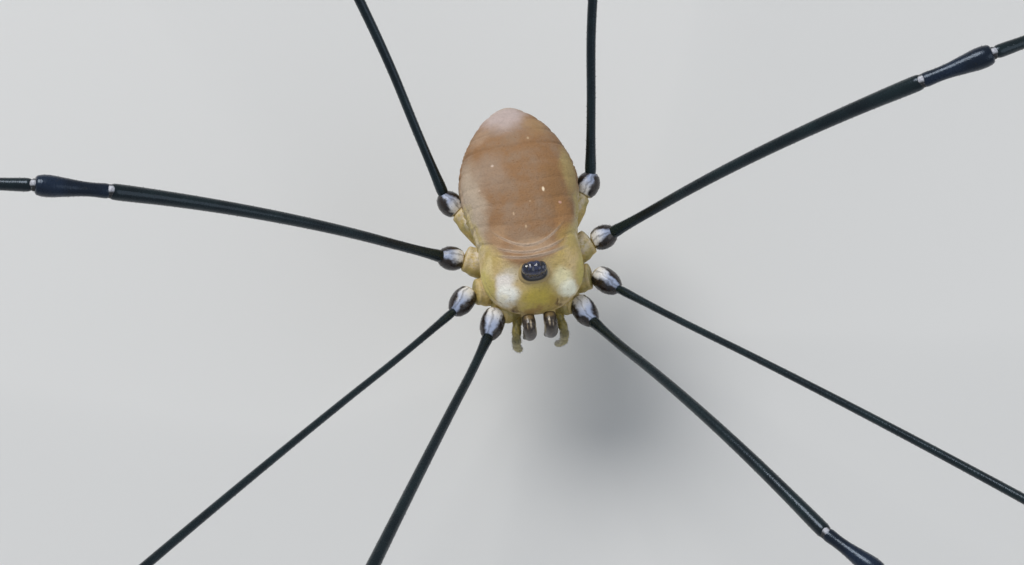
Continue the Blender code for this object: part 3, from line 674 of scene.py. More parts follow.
def shield_mask(tree, split, cloud):
    """Where the brown shield lies: the back, in a rounded outline with a cloudy edge."""
    forward = calc(tree, "MINIMUM", calc(tree, "SUBTRACT", split["Y"], SHIELD_CENTRE_Y), 0)
    forward = calc(tree, "DIVIDE", forward, SHIELD_REACH)
    half = calc(tree, "MULTIPLY_ADD", eased_node(tree, split["Y"], 0.2, 0.9), 0.30, SHIELD_HALF_WIDTH)
    outward = calc(tree, "DIVIDE", split["X"], half)
    spot = add_node(tree, "ShaderNodeCombineXYZ", {0: outward, 1: forward}).outputs[0]
    reach = vector(tree, "LENGTH", spot)
    reach = calc(tree, "MULTIPLY_ADD", calc(tree, "SUBTRACT", cloud, 0.5), 0.22, reach)
    return product(tree, eased_node(tree, reach, 1.07, 0.93), eased_node(tree, split["Z"], -0.35, 0.25))


def with_plate_edges(tree, split, skin):
    """Adds the pale hind edges of the narrow plates, their paleness partly pigment and partly a painted
    highlight along each ridge.
    """
    inside = eased_node(tree, calc(tree, "ABSOLUTE", split["X"]), PLATE_HALF_WIDTH, PLATE_HALF_WIDTH * 0.5)
    above = eased_node(tree, split["Z"], 0.2, 0.5)
    for middle, bend in PLATE_EDGES:
        edge_y = calc(tree, "MULTIPLY_ADD", calc(tree, "POWER", split["X"], 2.0), bend, middle)
        away = calc(tree, "ABSOLUTE", calc(tree, "SUBTRACT", split["Y"], edge_y))
        line = eased_node(tree, away, 0.040, 0.010)
        skin = mixed(tree, product(tree, line, inside, above, 0.60), skin, PLATE_EDGE_PALE_AND_HIGHLIGHT)
    return skin


def with_coxae(tree, split, cloud, fleck, skin):
    """Colours the coxae: olive and gold, blotched with white on top, with a golden rim."""
    along = attribute(tree, "coxa")
    colour = mixed(tree, eased_node(tree, cloud, 0.42, 0.62), COXA_GOLD, COXA_OLIVE)
    colour = mixed(tree, product(tree, eased_node(tree, fleck, 0.55, 0.68), 0.5), colour, HEAD_SPECK)
    dorsal = product(tree, eased_node(tree, split["Z"], -0.20, 0.0), eased_node(tree, along, 0.45, 0.80))
    hindwards = calc(tree, "MULTIPLY_ADD", eased_node(tree, split["Y"], -1.0, -0.3), 0.50, 0.25)
    blotch = product(tree, dorsal, eased_node(tree, fleck, 0.30, 0.62), hindwards)
    colour = mixed(tree, blotch, colour, COXA_PALE)
    skin = mixed(tree, eased_node(tree, along, 0.02, 0.10), skin, colour)
    rim = eased_node(tree, calc(tree, "ABSOLUTE", calc(tree, "SUBTRACT", along, 0.95)), 0.035, 0.015)
    return mixed(tree, product(tree, rim, 0.4), skin, COXA_RIM)


def cuticle(name, relief):
    """Matt brown shield, golden head and coxae, pale flanks, all finely grained, with painted sheen,
    highlights and shadow in a few patches.
    """
    material, tree, shader = new_material(name, coat_roughness=0.35)
    place = body_millimetres(tree)
    split = parts(tree, place)
    height, mottle = grain(tree, place, 0.034, 0.9)
    cloud = noise(tree, place, 2.2, 3.0, 0.6)
    fleck = noise(tree, place, 11.0, 4.0, 0.7)
    uneven = ragged(tree, place)

    flank = mixed(tree, eased_node(tree, cloud, 0.35, 0.65), FLANK_PALE, FLANK_GOLD)
    gold = mixed(tree, eased_node(tree, cloud, 0.38, 0.66), HEAD_TAN, HEAD_OLIVE)
    gold = spotted(tree, uneven, gold, HEAD_PATCHES)
    gold = mixed(tree, product(tree, eased_node(tree, fleck, 0.58, 0.70), 0.55), gold, HEAD_SPECK)
    brown = mixed(tree, eased_node(tree, cloud, 0.36, 0.68), SHIELD_BROWN, SHIELD_LILAC)
    brown = mixed(tree, eased_node(tree, mottle, 0.58, 0.72), brown, SHIELD_DARK)
    brown = spotted(tree, uneven, brown, SHIELD_PATCHES)
    brown = spotted(tree, place, brown, FLECKS)

    under = mixed(tree, eased_node(tree, split["Y"], -0.95, -0.45), gold, flank)
    on_back = shield_mask(tree, split, cloud)
    skin = mixed(tree, on_back, under, brown)
    skin = with_plate_edges(tree, split, skin)
    skin = with_coxae(tree, split, cloud, fleck, skin)
    inputs = {"Color": skin, "Value": calc(tree, "MULTIPLY_ADD", mottle, 0.50, 0.75)}
    shade = add_node(tree, "ShaderNodeHueSaturation", inputs).outputs[0]
    matt = calc(tree, "MULTIPLY_ADD", on_back, 0.16, 0.45)
    finish_cuticle(tree, shader, shade, (mottle, 0.25, matt), height, relief)
    return material


def genital_plate():
    """The long flat plate that reaches forwards under the body, between the coxae."""
    shares = np.linspace(0, 1, len(PLATE_PLACES))
    path = list(zip(shares, PLATE_PLACES))
    return tube("plate", path, list(zip(shares, PLATE_HALF_WIDTHS)), 60, 32, (1, 0, 0))


def socket(place, direction, radius, depth):
    """The short neck that a mouthpart grows from."""
    ahead = np.array(direction) / np.linalg.norm(direction)
    stops = ((0.0, radius * 1.15), (0.7, radius), (0.92, radius * 0.96), (1.0, radius * 0.6))
    return tube("socket", straight(place - ahead * depth, place), stops, 24, 28, (1, 0, 0))


body_cuticle = cuticle("body_cuticle", 0.009)
body_pieces = [body_shell(), genital_plate()]
for side in SIDES.values():
    for pair in COXA_ROOTS:
        body_pieces.append(coxa(pair, side))
    body_pieces.append(socket(mirrored(CHELICERA_SOCKET, side), CHELICERA_DIRECTION, 0.125, 0.30))
    palp_direction = mirrored(PALP_DIRECTION, side)
    body_pieces.append(socket(mirrored(PALP_SOCKET, side), palp_direction, 0.13, 0.45))
body_skin = fuse("body_skin", body_pieces)
body_skin.data.materials.clear()
body_skin.data.materials.append(body_cuticle)
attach(body_skin, "root")
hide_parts("cephalothorax", "abdomen")

# Granules. Tiny hard grains that stand on the shield, evenly spread, a twentieth of a millimetre
# apart. They are part of the same cuticle and have its colours.
GRANULE_SPACING = 0.052 * MM
GRANULE_RADIUS = 0.0075 * MM
CROWDING = 2.5


def new_tree(name, inputs):
    """A Geometry Nodes tree with named inputs, each a name and its kind."""
    tree = bpy.data.node_groups.new(name, "GeometryNodeTree")
    tree.interface.new_socket("Geometry", in_out="INPUT", socket_type="NodeSocketGeometry")
    for label, kind in inputs:
        tree.interface.new_socket(label, in_out="INPUT", socket_type="NodeSocket" + kind)
    tree.interface.new_socket("Geometry", in_out="OUTPUT", socket_type="NodeSocketGeometry")
    return tree, tree.nodes.new("NodeGroupInput").outputs, tree.nodes.new("NodeGroupOutput").inputs


def close_tree(tree, given, result, geometry, shaded=True):
    """Ends a tree as every tree here ends."""
    smooth = add_node(tree, "GeometryNodeSetShadeSmooth", {"Geometry": geometry, "Shade Smooth": shaded})
    real = add_node(tree, "GeometryNodeRealizeInstances", {"Geometry": smooth.outputs[0]})
    dressed = {"Geometry": real.outputs[0], "Material": given["Material"]}
    tree.links.new(add_node(tree, "GeometryNodeSetMaterial", dressed).outputs[0], result[0])
    return tree


def stored(tree, geometry, name, kind, value):
    inputs = {"Geometry": geometry, "Name": name, "Value": value}
    settings = {"data_type": kind, "domain": "POINT"}
    return add_node(tree, "GeometryNodeStoreNamedAttribute", inputs, **settings).outputs[0]


def grown(source, tree, **inputs):
    """Runs a tree on an object and leaves a plain mesh object of the same name."""
    modifier = source.modifiers.new("grow", "NODES")
    modifier.node_group = tree
    for item in tree.interface.items_tree:
        key = item.name.lower().replace(" ", "_")
        if item.in_out == "INPUT" and key in inputs:
            modifier[item.identifier] = inputs[key]
    bpy.context.view_layer.update()
    graph = bpy.context.evaluated_depsgraph_get()
    mesh = bpy.data.meshes.new_from_object(source.evaluated_get(graph), depsgraph=graph)
    name = source.name
    source.modifiers.remove(modifier)
    bpy.data.objects.remove(source)
    made = bpy.data.objects.new(name, mesh)
    mesh.name = name
    bpy.context.scene.collection.objects.link(made)
    return made


def named(tree, name, kind="FLOAT"):
    return add_node(tree, "GeometryNodeInputNamedAttribute", {"Name": name}, data_type=kind).outputs[0]


def scattered(tree, given, mesh, **more):
    """Points spread evenly over a mesh, none closer to another than Spacing."""
    density = calc(tree, "DIVIDE", CROWDING, calc(tree, "POWER", given["Spacing"], 2.0))
    inputs = {"Mesh": mesh, "Distance Min": given["Spacing"], "Density Max": density}
    inputs.update({"Seed": given["Seed"], **more})
    kind = "GeometryNodeDistributePointsOnFaces"
    return add_node(tree, kind, inputs, distribute_method="POISSON").outputs


def random_size(tree, given, least):
    inputs = {"Min": least, "Max": 1.0, "Seed": given["Seed"]}
    return add_node(tree, "FunctionNodeRandomValue", inputs, data_type="FLOAT").outputs[1]


def make_granule_tree():
    sockets = (("Spacing", "Float"), ("Radius", "Float"), ("Seed", "Int"), ("Material", "Material"))
    tree, given, result = new_tree("shield_granules", sockets)
    factor = {"Density Factor": named(tree, "shield")}
    points = scattered(tree, given, given["Geometry"], **factor)["Points"]
    dome_size = {"Radius": given["Radius"], "Subdivisions": 1}
    dome = add_node(tree, "GeometryNodeMeshIcoSphere", dome_size).outputs[0]
    placed = {"Points": points, "Instance": dome, "Scale": random_size(tree, given, 0.55)}
    grains = add_node(tree, "GeometryNodeInstanceOnPoints", placed).outputs[0]
    return close_tree(tree, given, result, grains)


granules = bpy.data.objects.new("body_granules", body_skin.data.copy())
bpy.context.scene.collection.objects.link(granules)
granules = grown(
    granules,
    make_granule_tree(),
    spacing=GRANULE_SPACING,
    radius=GRANULE_RADIUS,
    seed=3,
    material=cuticle("granule_cuticle", 0.0005),
)
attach(granules, "root")

# Eye mound. A small glossy blue-black turret on the head, grooved along its middle, that carries
# one eye on each side. It is the same hard cuticle as the head, grown in one with it.
MOUND_FOOT_Z = 0.62
MOUND_RISE = 0.465
MOUND_HALF_WIDTH = 0.215
MOUND_HALF_LENGTH = 0.145
MOUND_SET_BACK = 0.042
MOUND_FILLET = 0.035
MOUND_FLARE = 0.45
MOUND_STOPS = (
    (0.0, 1.02), (0.20, 0.98), (0.34, 0.92), (0.46, 0.86), (0.58, 0.80),
    (0.72, 0.78), (0.86, 0.68), (0.95, 0.44), (1.0, 0.08),
)
MOUND_GROOVE = 0.030
MOUND_GROOVE_WIDTH = 0.040
MOUND_SQUARENESS = 0.8


def eye_mound():
    shares = (1 - np.cos(np.pi * (0.5 + np.arange(48)) / 48)) / 2
    scale = through(MOUND_STOPS, shares)[:, None]
    angle = (2 * np.pi * np.arange(72) / 72)[None, :]
    side, ahead = np.cos(angle), np.sin(angle)
    longer = 1 + 0.20 * easing(0.35, 0.60, shares)[:, None]
    x = np.sign(side) * np.abs(side) ** MOUND_SQUARENESS * MOUND_HALF_WIDTH * scale
    y = np.sign(ahead) * np.abs(ahead) ** MOUND_SQUARENESS * MOUND_HALF_LENGTH * scale * longer
    groove = MOUND_GROOVE * easing(0.45, 0.90, shares)[:, None] * bump(x, MOUND_GROOVE_WIDTH)
    z = MOUND_FOOT_Z + MOUND_RISE * shares[:, None] - groove
    x, y, z = np.broadcast_arrays(x, y, z)
    middle = MOUND_MIDDLE_Y / MM + MOUND_SET_BACK
    foot = np.exp(-np.clip(z - back_z(middle + y), 0, None) / MOUND_FILLET)
    spread = 1 + MOUND_FLARE * foot
    rings = np.stack([x * spread, middle + y * spread, z], axis=-1)
    return loft("eye_mound_skin", rings, {"foot": foot})


def mound_cuticle():
    """Glossy blue-black, dull and golden where the foot runs out into the head."""
    material, tree, shader = new_material("mound_cuticle", coat_weight=0.6, coat_roughness=0.12)
    place = body_millimetres(tree)
    height, mottle = grain(tree, place, 0.028, 0.8)
    foot = attribute(tree, "foot")
    blue = mixed(tree, eased_node(tree, mottle, 0.40, 0.62), (0.006, 0.007, 0.018), (0.024, 0.032, 0.090))
    blue = mixed(tree, eased_node(tree, foot, 0.02, 0.25), blue, (0.008, 0.007, 0.008))
    skin = mixed(tree, eased_node(tree, foot, 0.45, 0.75), blue, (0.400, 0.290, 0.120))
    duller = calc(tree, "MULTIPLY_ADD", foot, 0.35, 0.16)
    finish_cuticle(tree, shader, skin, (mottle, 0.2, duller), height, 0.0025)
    return material


mound_skin = eye_mound()
mound_skin.data.materials.append(mound_cuticle())
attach(mound_skin, "root")
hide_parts("eye_mound")

# Eyes. Two simple eyes, each one polished black lens like half a bead, that look out to the sides
# and a little upwards. Each sits in the mound's flank, with a dull ring of cuticle round its edge.
EYE_RADIUS = 0.118
EYE_DOME = 0.104
EYE_PLACE = (0.134, -1.226, 0.935)
EYE_TURN_UP = math.radians(14)
EYE_TURN_FORWARD = math.radians(12)


def eye_lens(side):
    across, forward = math.cos(EYE_TURN_FORWARD), -math.sin(EYE_TURN_FORWARD)
    level = math.cos(EYE_TURN_UP)
    axis = np.array((side * across * level, forward * level, math.sin(EYE_TURN_UP)))
    wide = np.cross(axis, (0, 0, 1))
    wide /= np.linalg.norm(wide)
    tall = np.cross(wide, axis)
    tilt = np.radians(np.linspace(-60, 88, 36))[:, None, None]
    turn = (2 * np.pi * np.arange(48) / 48)[None, :, None]
    swell = 1 + 0.03 * bump(np.degrees(tilt) + 2, 9)
    spokes = (np.cos(turn) * wide + np.sin(turn) * tall) * np.cos(tilt) * EYE_RADIUS * swell
    rings = mirrored(EYE_PLACE, side) + axis * np.sin(tilt) * EYE_DOME + spokes
    rim = np.broadcast_to(bump(np.degrees(tilt[..., 0]) - 2, 9), rings.shape[:2])
    return loft("eye_lens", rings, {"rim": rim})


def lens_material():
    material, tree, shader = new_material("eye_lens", coat_weight=1.0, coat_roughness=0.03)
    rim = attribute(tree, "rim")
    cloud = noise(tree, body_millimetres(tree), 9.0, 2.0)
    black = mixed(tree, eased_node(tree, cloud, 0.4, 0.65), (0.004, 0.004, 0.007), (0.010, 0.013, 0.040))
    tree.links.new(mixed(tree, rim, black, (0.030, 0.018, 0.010)), shader.inputs["Base Color"])
    tree.links.new(calc(tree, "MULTIPLY_ADD", rim, 0.35, 0.06), shader.inputs["Roughness"])
    return material


lens_black = lens_material()
for side_name, side in SIDES.items():
    lens = eye_lens(side)
    lens.name = "eye_lens_" + side_name
    lens.data.materials.append(lens_black)
    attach(lens, "root")
    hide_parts("eye_" + side_name)

# Chelicerae. A pair of short jaws under the front lip, of smooth dark cuticle with pale stripes.
# The first segment reaches forwards, and the hand hangs from it with a fixed and a hinged finger.
CHELICERA_REACH = 0.20
FINGER_LENGTH = 0.25
FINGER_TEETH = 5
JAW_BASE_RADII = ((0.0, 0.05), (0.08, 0.105), (0.4, 0.125), (0.8, 0.128), (0.95, 0.10), (1.0, 0.03))
FINGER_RADII = ((0.0, 0.05), (0.4, 0.040), (0.8, 0.022), (1.0, 0.004))
TOOTH_RADII = ((0.0, 0.014), (0.6, 0.010), (1.0, 0.002))
HAND_RADII = (
    (0.0, 0.03), (0.05, 0.085), (0.25, 0.128), (0.5, 0.132), (0.8, 0.105), (0.96, 0.075), (1.0, 0.03),
)

# The hand's middle line from the knee: shares of its length, and how far forwards and up it is.
HAND_LINE = ((0.0, 0.02, 0.10), (0.3, 0.07, -0.16), (0.7, 0.045, -0.44), (1.0, -0.02, -0.64))
JAW_PATCHES = (
    ((0.20, -1.86, 0.10), (0.15, 0.08, 0.12), (0.300, 0.200, 0.080), 0.75),
    ((0.175, -2.02, 0.12), (0.030, 0.13, 0.10), (0.620, 0.500, 0.340), 0.75),
    ((0.245, -2.06, 0.10), (0.016, 0.12, 0.10), (0.480, 0.360, 0.220), 0.55),
    ((0.18, -2.24, -0.10), (0.028, 0.08, 0.22), (0.560, 0.450, 0.300), 0.6),
    ((0.075, -2.10, 0.00), (0.035, 0.20, 0.35), (0.560, 0.480, 0.320), 0.7),
)


def chelicera(side):
    ahead = np.array(CHELICERA_DIRECTION) / np.linalg.norm(CHELICERA_DIRECTION)
    start = mirrored(CHELICERA_SOCKET, side) - ahead * 0.05
    knee = start + ahead * CHELICERA_REACH
    hand_path = [(share, knee + np.array((0, -forwards, up))) for share, forwards, up in HAND_LINE]
    pieces = [
        tube("base", straight(start, knee + ahead * 0.06), JAW_BASE_RADII, 48, 40, (1, 0, 0)),
        tube("hand", hand_path, HAND_RADII, 64, 40, (1, 0, 0)),
    ]
    wrist = hand_path[-1][1]
    for inward in (-1, 1):
        root = wrist + np.array((inward * 0.050, 0, 0.08))
        elbow = wrist + np.array((inward * 0.085, 0, -FINGER_LENGTH * 0.45))
        tip = wrist + np.array((inward * 0.012, -0.01 * inward, -FINGER_LENGTH))
        finger_path = [(0.0, root), (0.5, elbow), (1.0, tip)]
        pieces.append(tube("finger", finger_path, FINGER_RADII, 32, 20, (1, 0, 0)))
        for share in np.linspace(0.42, 0.90, FINGER_TEETH):
            foot = through(finger_path, [share])[0]
            crown = foot - np.array((inward * 0.045 * (1.15 - share * 0.6), 0, 0.008))
            pieces.append(tube("tooth", straight(foot, crown), TOOTH_RADII, 6, 10, (0, 1, 0)))
    return fuse("chelicera_skin", pieces)


def jaw_material():
    """Dark brown with pale stripes, the same on both jaws, and black fingers."""
    material, tree, shader = new_material("jaw_cuticle", coat_weight=0.35, coat_roughness=0.18)
    place = body_millimetres(tree)
    split = parts(tree, place)
    folds = {0: calc(tree, "ABSOLUTE", split["X"]), 1: split["Y"], 2: split["Z"]}
    folded = add_node(tree, "ShaderNodeCombineXYZ", folds).outputs[0]
    height, mottle = grain(tree, place, 0.022, 0.6)
    colour = mixed(tree, eased_node(tree, mottle, 0.42, 0.66), (0.050, 0.034, 0.022), (0.018, 0.013, 0.010))
    colour = spotted(tree, folded, colour, JAW_PATCHES)
    colour = mixed(tree, eased_node(tree, split["Z"], -0.62, -0.74), colour, (0.010, 0.007, 0.006))
    finish_cuticle(tree, shader, colour, (mottle, 0.2, 0.22), height, 0.004)
    return material


jaw_cuticle = jaw_material()
for side_name, side in SIDES.items():
    jaw = chelicera(side)
    jaw.name = "chelicera_skin_" + side_name
    jaw.data.materials.clear()
    jaw.data.materials.append(jaw_cuticle)
    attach(jaw, "root")
    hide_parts("chelicera_" + side_name)

# Legs. Eight long jointed tubes of hard greenish black cuticle, each of a short thick trochanter,
# femur, patella, tibia, metatarsus and a whip-like tarsus of many rings that lies along the floor.
# Soft pale skin shows at the joints, whitish on top partly as a painted glint, and tiny stiff hairs all lean
# towards the tip.
SEGMENTS = ("trochanter", "femur", "patella", "tibia", "metatarsus", "tarsus")
SOLID_TUBE_SIDES = 8
SOLID_FOOT_HEIGHT = 0.231
SEGMENT_SIDES = 20
TARSUS_SIDES = 12
KNOB_SIDES = 16
KNOB_STATIONS = 16
CLAW_SIDES = 10
CLAW_STATIONS = 14
STATIONS = {"trochanter": 60, "femur": 110, "patella": 60, "tibia": 90, "metatarsus": 110, "tarsus": 420}
TARSUS_RING_LENGTH = 0.22
TARSUS_RING_DEPTH = 0.22
COLLAR_LENGTH = 0.14
COLLAR_SWELL = 0.90
CUSHION_LENGTH = 0.16
CUSHION_RISE = 0.45
CUSHION_SWELL = 0.70
CLAW_LENGTH = 0.16
CLAW_ARCH = 0.028
TIP_ROOM = 0.22
FLOOR_CLEARANCE = 0.004
FEMUR_SEAT_DEPTH = 0.22
TROCHANTER_INWARD = 0.92
TROCHANTER_OUTWARD = 0.76
HAIR_PATCH = 0.003
LEG_HAIRS = {"spacing": 0.085 * MM, "length": 0.034 * MM, "width": 0.009 * MM, "lean": 1.6}

# How thick each pair is against the first.
PAIR_THICKNESS = {1: 1.0, 2: 0.76, 3: 1.10, 4: 1.0}
RADII = {
    "trochanter": (
        (0.0, 0.10), (0.06, 0.160), (0.18, 0.200), (0.40, 0.228),
        (0.62, 0.220), (0.80, 0.180), (0.92, 0.132), (1.0, 0.07),
    ),
    "femur": (
        (0.0, 0.05), (0.008, 0.090), (0.022, 0.108), (0.045, 0.098), (0.12, 0.086),
        (0.50, 0.100), (0.85, 0.124), (0.975, 0.137), (0.992, 0.130), (1.0, 0.10),
    ),
    "patella": (
        (0.0, 0.09), (0.02, 0.118), (0.07, 0.124), (0.20, 0.118), (0.35, 0.124),
        (0.60, 0.158), (0.82, 0.184), (0.94, 0.168), (0.985, 0.135), (1.0, 0.09),
    ),
    "tibia": (
        (0.0, 0.05), (0.008, 0.090), (0.03, 0.114), (0.10, 0.106), (0.50, 0.098),
        (0.93, 0.092), (0.98, 0.100), (0.993, 0.085), (1.0, 0.04),
    ),
    "metatarsus": (
        (0.0, 0.04), (0.006, 0.066), (0.02, 0.078), (0.10, 0.068),
        (0.60, 0.056), (0.985, 0.052), (0.995, 0.046), (1.0, 0.02),
    ),
    "tarsus": (
        (0.0, 0.02), (0.003, 0.042), (0.01, 0.050), (0.30, 0.042),
        (0.80, 0.030), (0.995, 0.024), (1.0, 0.01),
    ),
}


def captured(tree, geometry, **values):
    """Keeps values on the points, each as its kind and the socket that gives it."""
    node = add_node(tree, "GeometryNodeCaptureAttribute", {"Geometry": geometry}, domain="POINT")
    for name, (kind, socket) in values.items():
        node.capture_items.new(kind, name)
        tree.links.new(socket, node.inputs[name])
    return node.outputs


def make_rod_tree():
    """A closed rod along a curve whose points carry its thickness, with ring grooves if asked for.

    Column says which upright strip of the unwrap is the rod's own, one strip for each segment.
    """
    sockets = (
        ("Sides", "Int"),
        ("Rings", "Float"),
        ("Ring Depth", "Float"),
        ("Column", "Float"),
        ("Material", "Material"),
    )
    tree, given, result = new_tree("leg_rod", sockets)
    share = add_node(tree, "GeometryNodeSplineParameter").outputs["Factor"]
    tangent = add_node(tree, "GeometryNodeInputTangent").outputs[0]
    line = captured(tree, given["Geometry"], Along=("FLOAT", share), Ahead=("VECTOR", tangent))
    along, ahead = line["Along"], line["Ahead"]
    turn = calc(tree, "FRACT", calc(tree, "MULTIPLY", along, given["Rings"]))
    groove = calc(tree, "ABSOLUTE", calc(tree, "MULTIPLY_ADD", turn, 2.0, -1.0))
    depth = calc(tree, "MULTIPLY", calc(tree, "POWER", groove, 5.0), given["Ring Depth"])
    radius = add_node(tree, "GeometryNodeInputRadius").outputs[0]
    radius = calc(tree, "MULTIPLY", radius, calc(tree, "SUBTRACT", 1.0, depth))
    round_size = {"Resolution": given["Sides"], "Radius": 1.0}
    circle = add_node(tree, "GeometryNodeCurvePrimitiveCircle", round_size).outputs[0]
    circle = captured(tree, circle, Around=("FLOAT", share))
    inputs = {"Curve": line["Geometry"], "Profile Curve": circle["Geometry"], "Scale": radius}
    rod = add_node(tree, "GeometryNodeCurveToMesh", {**inputs, "Fill Caps": True}).outputs[0]
    rod = stored(tree, rod, "along", "FLOAT", along)
    across_unwrap = calc(tree, "ADD", circle["Around"], given["Column"])
    rod = stored(tree, rod, "around", "FLOAT", calc(tree, "DIVIDE", across_unwrap, len(SEGMENTS)))
    rod = stored(tree, rod, "ahead", "FLOAT_VECTOR", ahead)
    facing = add_node(tree, "GeometryNodeInputNormal").outputs[0]
    rod = stored(tree, rod, "rise", "FLOAT", parts(tree, facing)["Z"])
    sideways = vector(tree, "NORMALIZE", vector(tree, "CROSS_PRODUCT", ahead, (0, 0, 1)))
    rod = stored(tree, rod, "aside", "FLOAT", vector(tree, "DOT_PRODUCT", facing, sideways))
    return close_tree(tree, given, result, rod)


def make_hair_tree():
    """Short stiff hairs spread evenly over a surface, each leaning along its rod."""
    sockets = (
        ("Skin", "Collection"),
        ("Spacing", "Float"),
        ("Length", "Float"),
        ("Width", "Float"),
        ("Lean", "Float"),
        ("Seed", "Int"),
        ("Material", "Material"),
    )
    tree, given, result = new_tree("leaning_hairs", sockets)
    skin = add_node(tree, "GeometryNodeCollectionInfo", {"Collection": given["Skin"]}).outputs[0]
    skin = add_node(tree, "GeometryNodeRealizeInstances", {"Geometry": skin}).outputs[0]
    points = scattered(tree, given, skin)
    place = add_node(tree, "GeometryNodeInputPosition").outputs[0]
    room = calc(tree, "MULTIPLY", given["Length"], 1.3)
    off_floor = calc(tree, "GREATER_THAN", parts(tree, place)["Z"], room)
    leaning = vector(tree, "SCALE", named(tree, "ahead", "FLOAT_VECTOR"), scale=given["Lean"])
    direction = {"Vector": vector(tree, "ADD", points["Normal"], leaning)}
    turned = add_node(tree, "FunctionNodeAlignRotationToVector", direction, axis="Z").outputs[0]
    cone_size = {
        "Vertices": 3,
        "Side Segments": 1,
        "Radius Top": 0.0,
        "Radius Bottom": calc(tree, "MULTIPLY", given["Width"], 0.5),
        "Depth": given["Length"],
    }
    cone = add_node(tree, "GeometryNodeMeshCone", cone_size, fill_type="NGON").outputs[0]
    cone = stored(tree, cone, "tuft", "FLOAT_VECTOR", vector(tree, "DIVIDE", place, given["Width"]))
    placed = {"Points": points["Points"], "Selection": off_floor, "Instance": cone, "Rotation": turned}
    placed["Scale"] = random_size(tree, given, 0.6)
    hairs = add_node(tree, "GeometryNodeInstanceOnPoints", placed).outputs[0]
    hairs = add_node(tree, "GeometryNodeRealizeInstances", {"Geometry": hairs}).outputs[0]
    root = {0: named(tree, "around"), 1: named(tree, "along")}
    root = add_node(tree, "ShaderNodeCombineXYZ", root).outputs[0]
    patch = vector(tree, "SCALE", named(tree, "tuft", "FLOAT_VECTOR"), scale=HAIR_PATCH)
    stamp = {"Geometry": hairs, "Name": "OFBake", "Value": vector(tree, "ADD", root, patch)}
    kind = "GeometryNodeStoreNamedAttribute"
    hairs = add_node(tree, kind, stamp, data_type="FLOAT2", domain="CORNER").outputs[0]
    return close_tree(tree, given, result, hairs, False)


def centre_line(node):
    """Middles of the rings of one of the frame's leg tubes, in millimetres, from the body outwards."""
    corners = np.array([corner.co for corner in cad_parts[node].data.vertices])
    corners = np.unique(np.round((corners - np.array(BODY_MIDDLE)) / MM, 5), axis=0)
    middle = corners.mean(axis=0)
    chord = np.linalg.svd(corners - middle)[2][0]
    if middle @ chord < 0:
        chord = -chord
    corners = corners[np.argsort(corners @ chord)]
    rings = np.array_split(corners, round(len(corners) / SOLID_TUBE_SIDES))
    return np.array([ring.mean(axis=0) for ring in rings])


def full_length(points):
    return np.linalg.norm(np.diff(points, axis=0), axis=1).sum()


def lengths_along(points):
    steps = np.linalg.norm(np.diff(points, axis=0), axis=1)
    return np.concatenate([[0], np.cumsum(steps)]) / steps.sum()


def rod_curve(name, strands):
    """A curve object of strands, each a list of points in millimetres and their radii."""
    data = bpy.data.curves.new(name, "CURVE")
    data.dimensions = "3D"
    for points, radii in strands:
        spline = data.splines.new("POLY")
        spline.points.add(len(points) - 1)
        for stop, point, radius in zip(spline.points, points, radii):
            stop.co = (*at(*point), 1)
            stop.radius = radius * MM
    made = bpy.data.objects.new(name, data)
    bpy.context.scene.collection.objects.link(made)
    return made


def close_at_ends(count):
    """Shares from 0 to 1 that crowd together towards both ends, where a rod is rounded off."""
    even = np.linspace(0, 1, count)
    return 0.5 * even + 0.5 * (1 - np.cos(np.pi * even)) / 2


def leg_lines(pair, side_name):
    """The centre line of every segment of a leg, drawn on to the middle of each joint."""
    lines = {segment: centre_line(f"leg{pair}_{side_name}_{segment}") for segment in SEGMENTS[1:]}
    low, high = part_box(f"leg{pair}_{side_name}_trochanter")
    middle = np.array(((low + high) / 2 - BODY_MIDDLE) / MM)
    outer = lines["femur"][0]
    onwards = outer - middle
    ends = (middle - onwards * TROCHANTER_INWARD, middle, middle + onwards * TROCHANTER_OUTWARD)
    lines["trochanter"] = np.array(ends)
    lines["femur"][0] = outer - onwards / np.linalg.norm(onwards) * FEMUR_SEAT_DEPTH
    for near, far in zip(SEGMENTS[1:], SEGMENTS[2:]):
        joint = (lines[near][-1] + lines[far][0]) / 2
        lines[near][-1] = joint
        lines[far][0] = joint
    return lines


def lowered(points, radii):
    """Lets a thin tarsus down so that it lies on the floor where the thick solid one does."""
    floor_z = -BODY_MIDDLE.z / MM + FLOOR_CLEARANCE
    above = np.maximum(points[:, 2] - floor_z - SOLID_FOOT_HEIGHT, 0)
    start = points[0, 2] - floor_z
    points[:, 2] = floor_z + radii + above * (start - radii[0]) / (start - SOLID_FOOT_HEIGHT)
    return points


def segment_strand(segment, pair, line):
    """Points and radii of one segment. A tarsus stops short, with room for its claw."""
    shares = close_at_ends(STATIONS[segment])
    reach = shares
    if segment == "tarsus":
        shares = np.linspace(0, 1, STATIONS[segment])
        reach = shares * (1 - TIP_ROOM / full_length(line))
    points = through(list(zip(lengths_along(line), line)), reach)
    thickness = 1.0 if segment == "trochanter" else PAIR_THICKNESS[pair]
    radii = through(RADII[segment], shares) * thickness
    if segment == "tarsus":
        points = lowered(points, radii)
    return points, radii


def leg_black(name, dark, light):
    """Greenish black with a brownish undertone, finely grained and softly glossy."""
    shine = {"coat_weight": 0.15, "coat_roughness": 0.13, "specular_ior_level": 0.42}
    material, tree, shader = new_material(name, **shine)
    shader.inputs["Specular Tint"].default_value = (0.62, 0.78, 1.0, 1)
    place = body_millimetres(tree)
    height, mottle = grain(tree, place, 0.030, 0.5)
    cloud = noise(tree, place, 1.6, 3.0, 0.6)
    black = mixed(tree, eased_node(tree, cloud, 0.35, 0.65), dark, light)
    black = mixed(tree, eased_node(tree, mottle, 0.62, 0.75), black, (0.020, 0.018, 0.014))
    finish_cuticle(tree, shader, black, (mottle, 0.20, 0.17), height, 0.003)
    return material


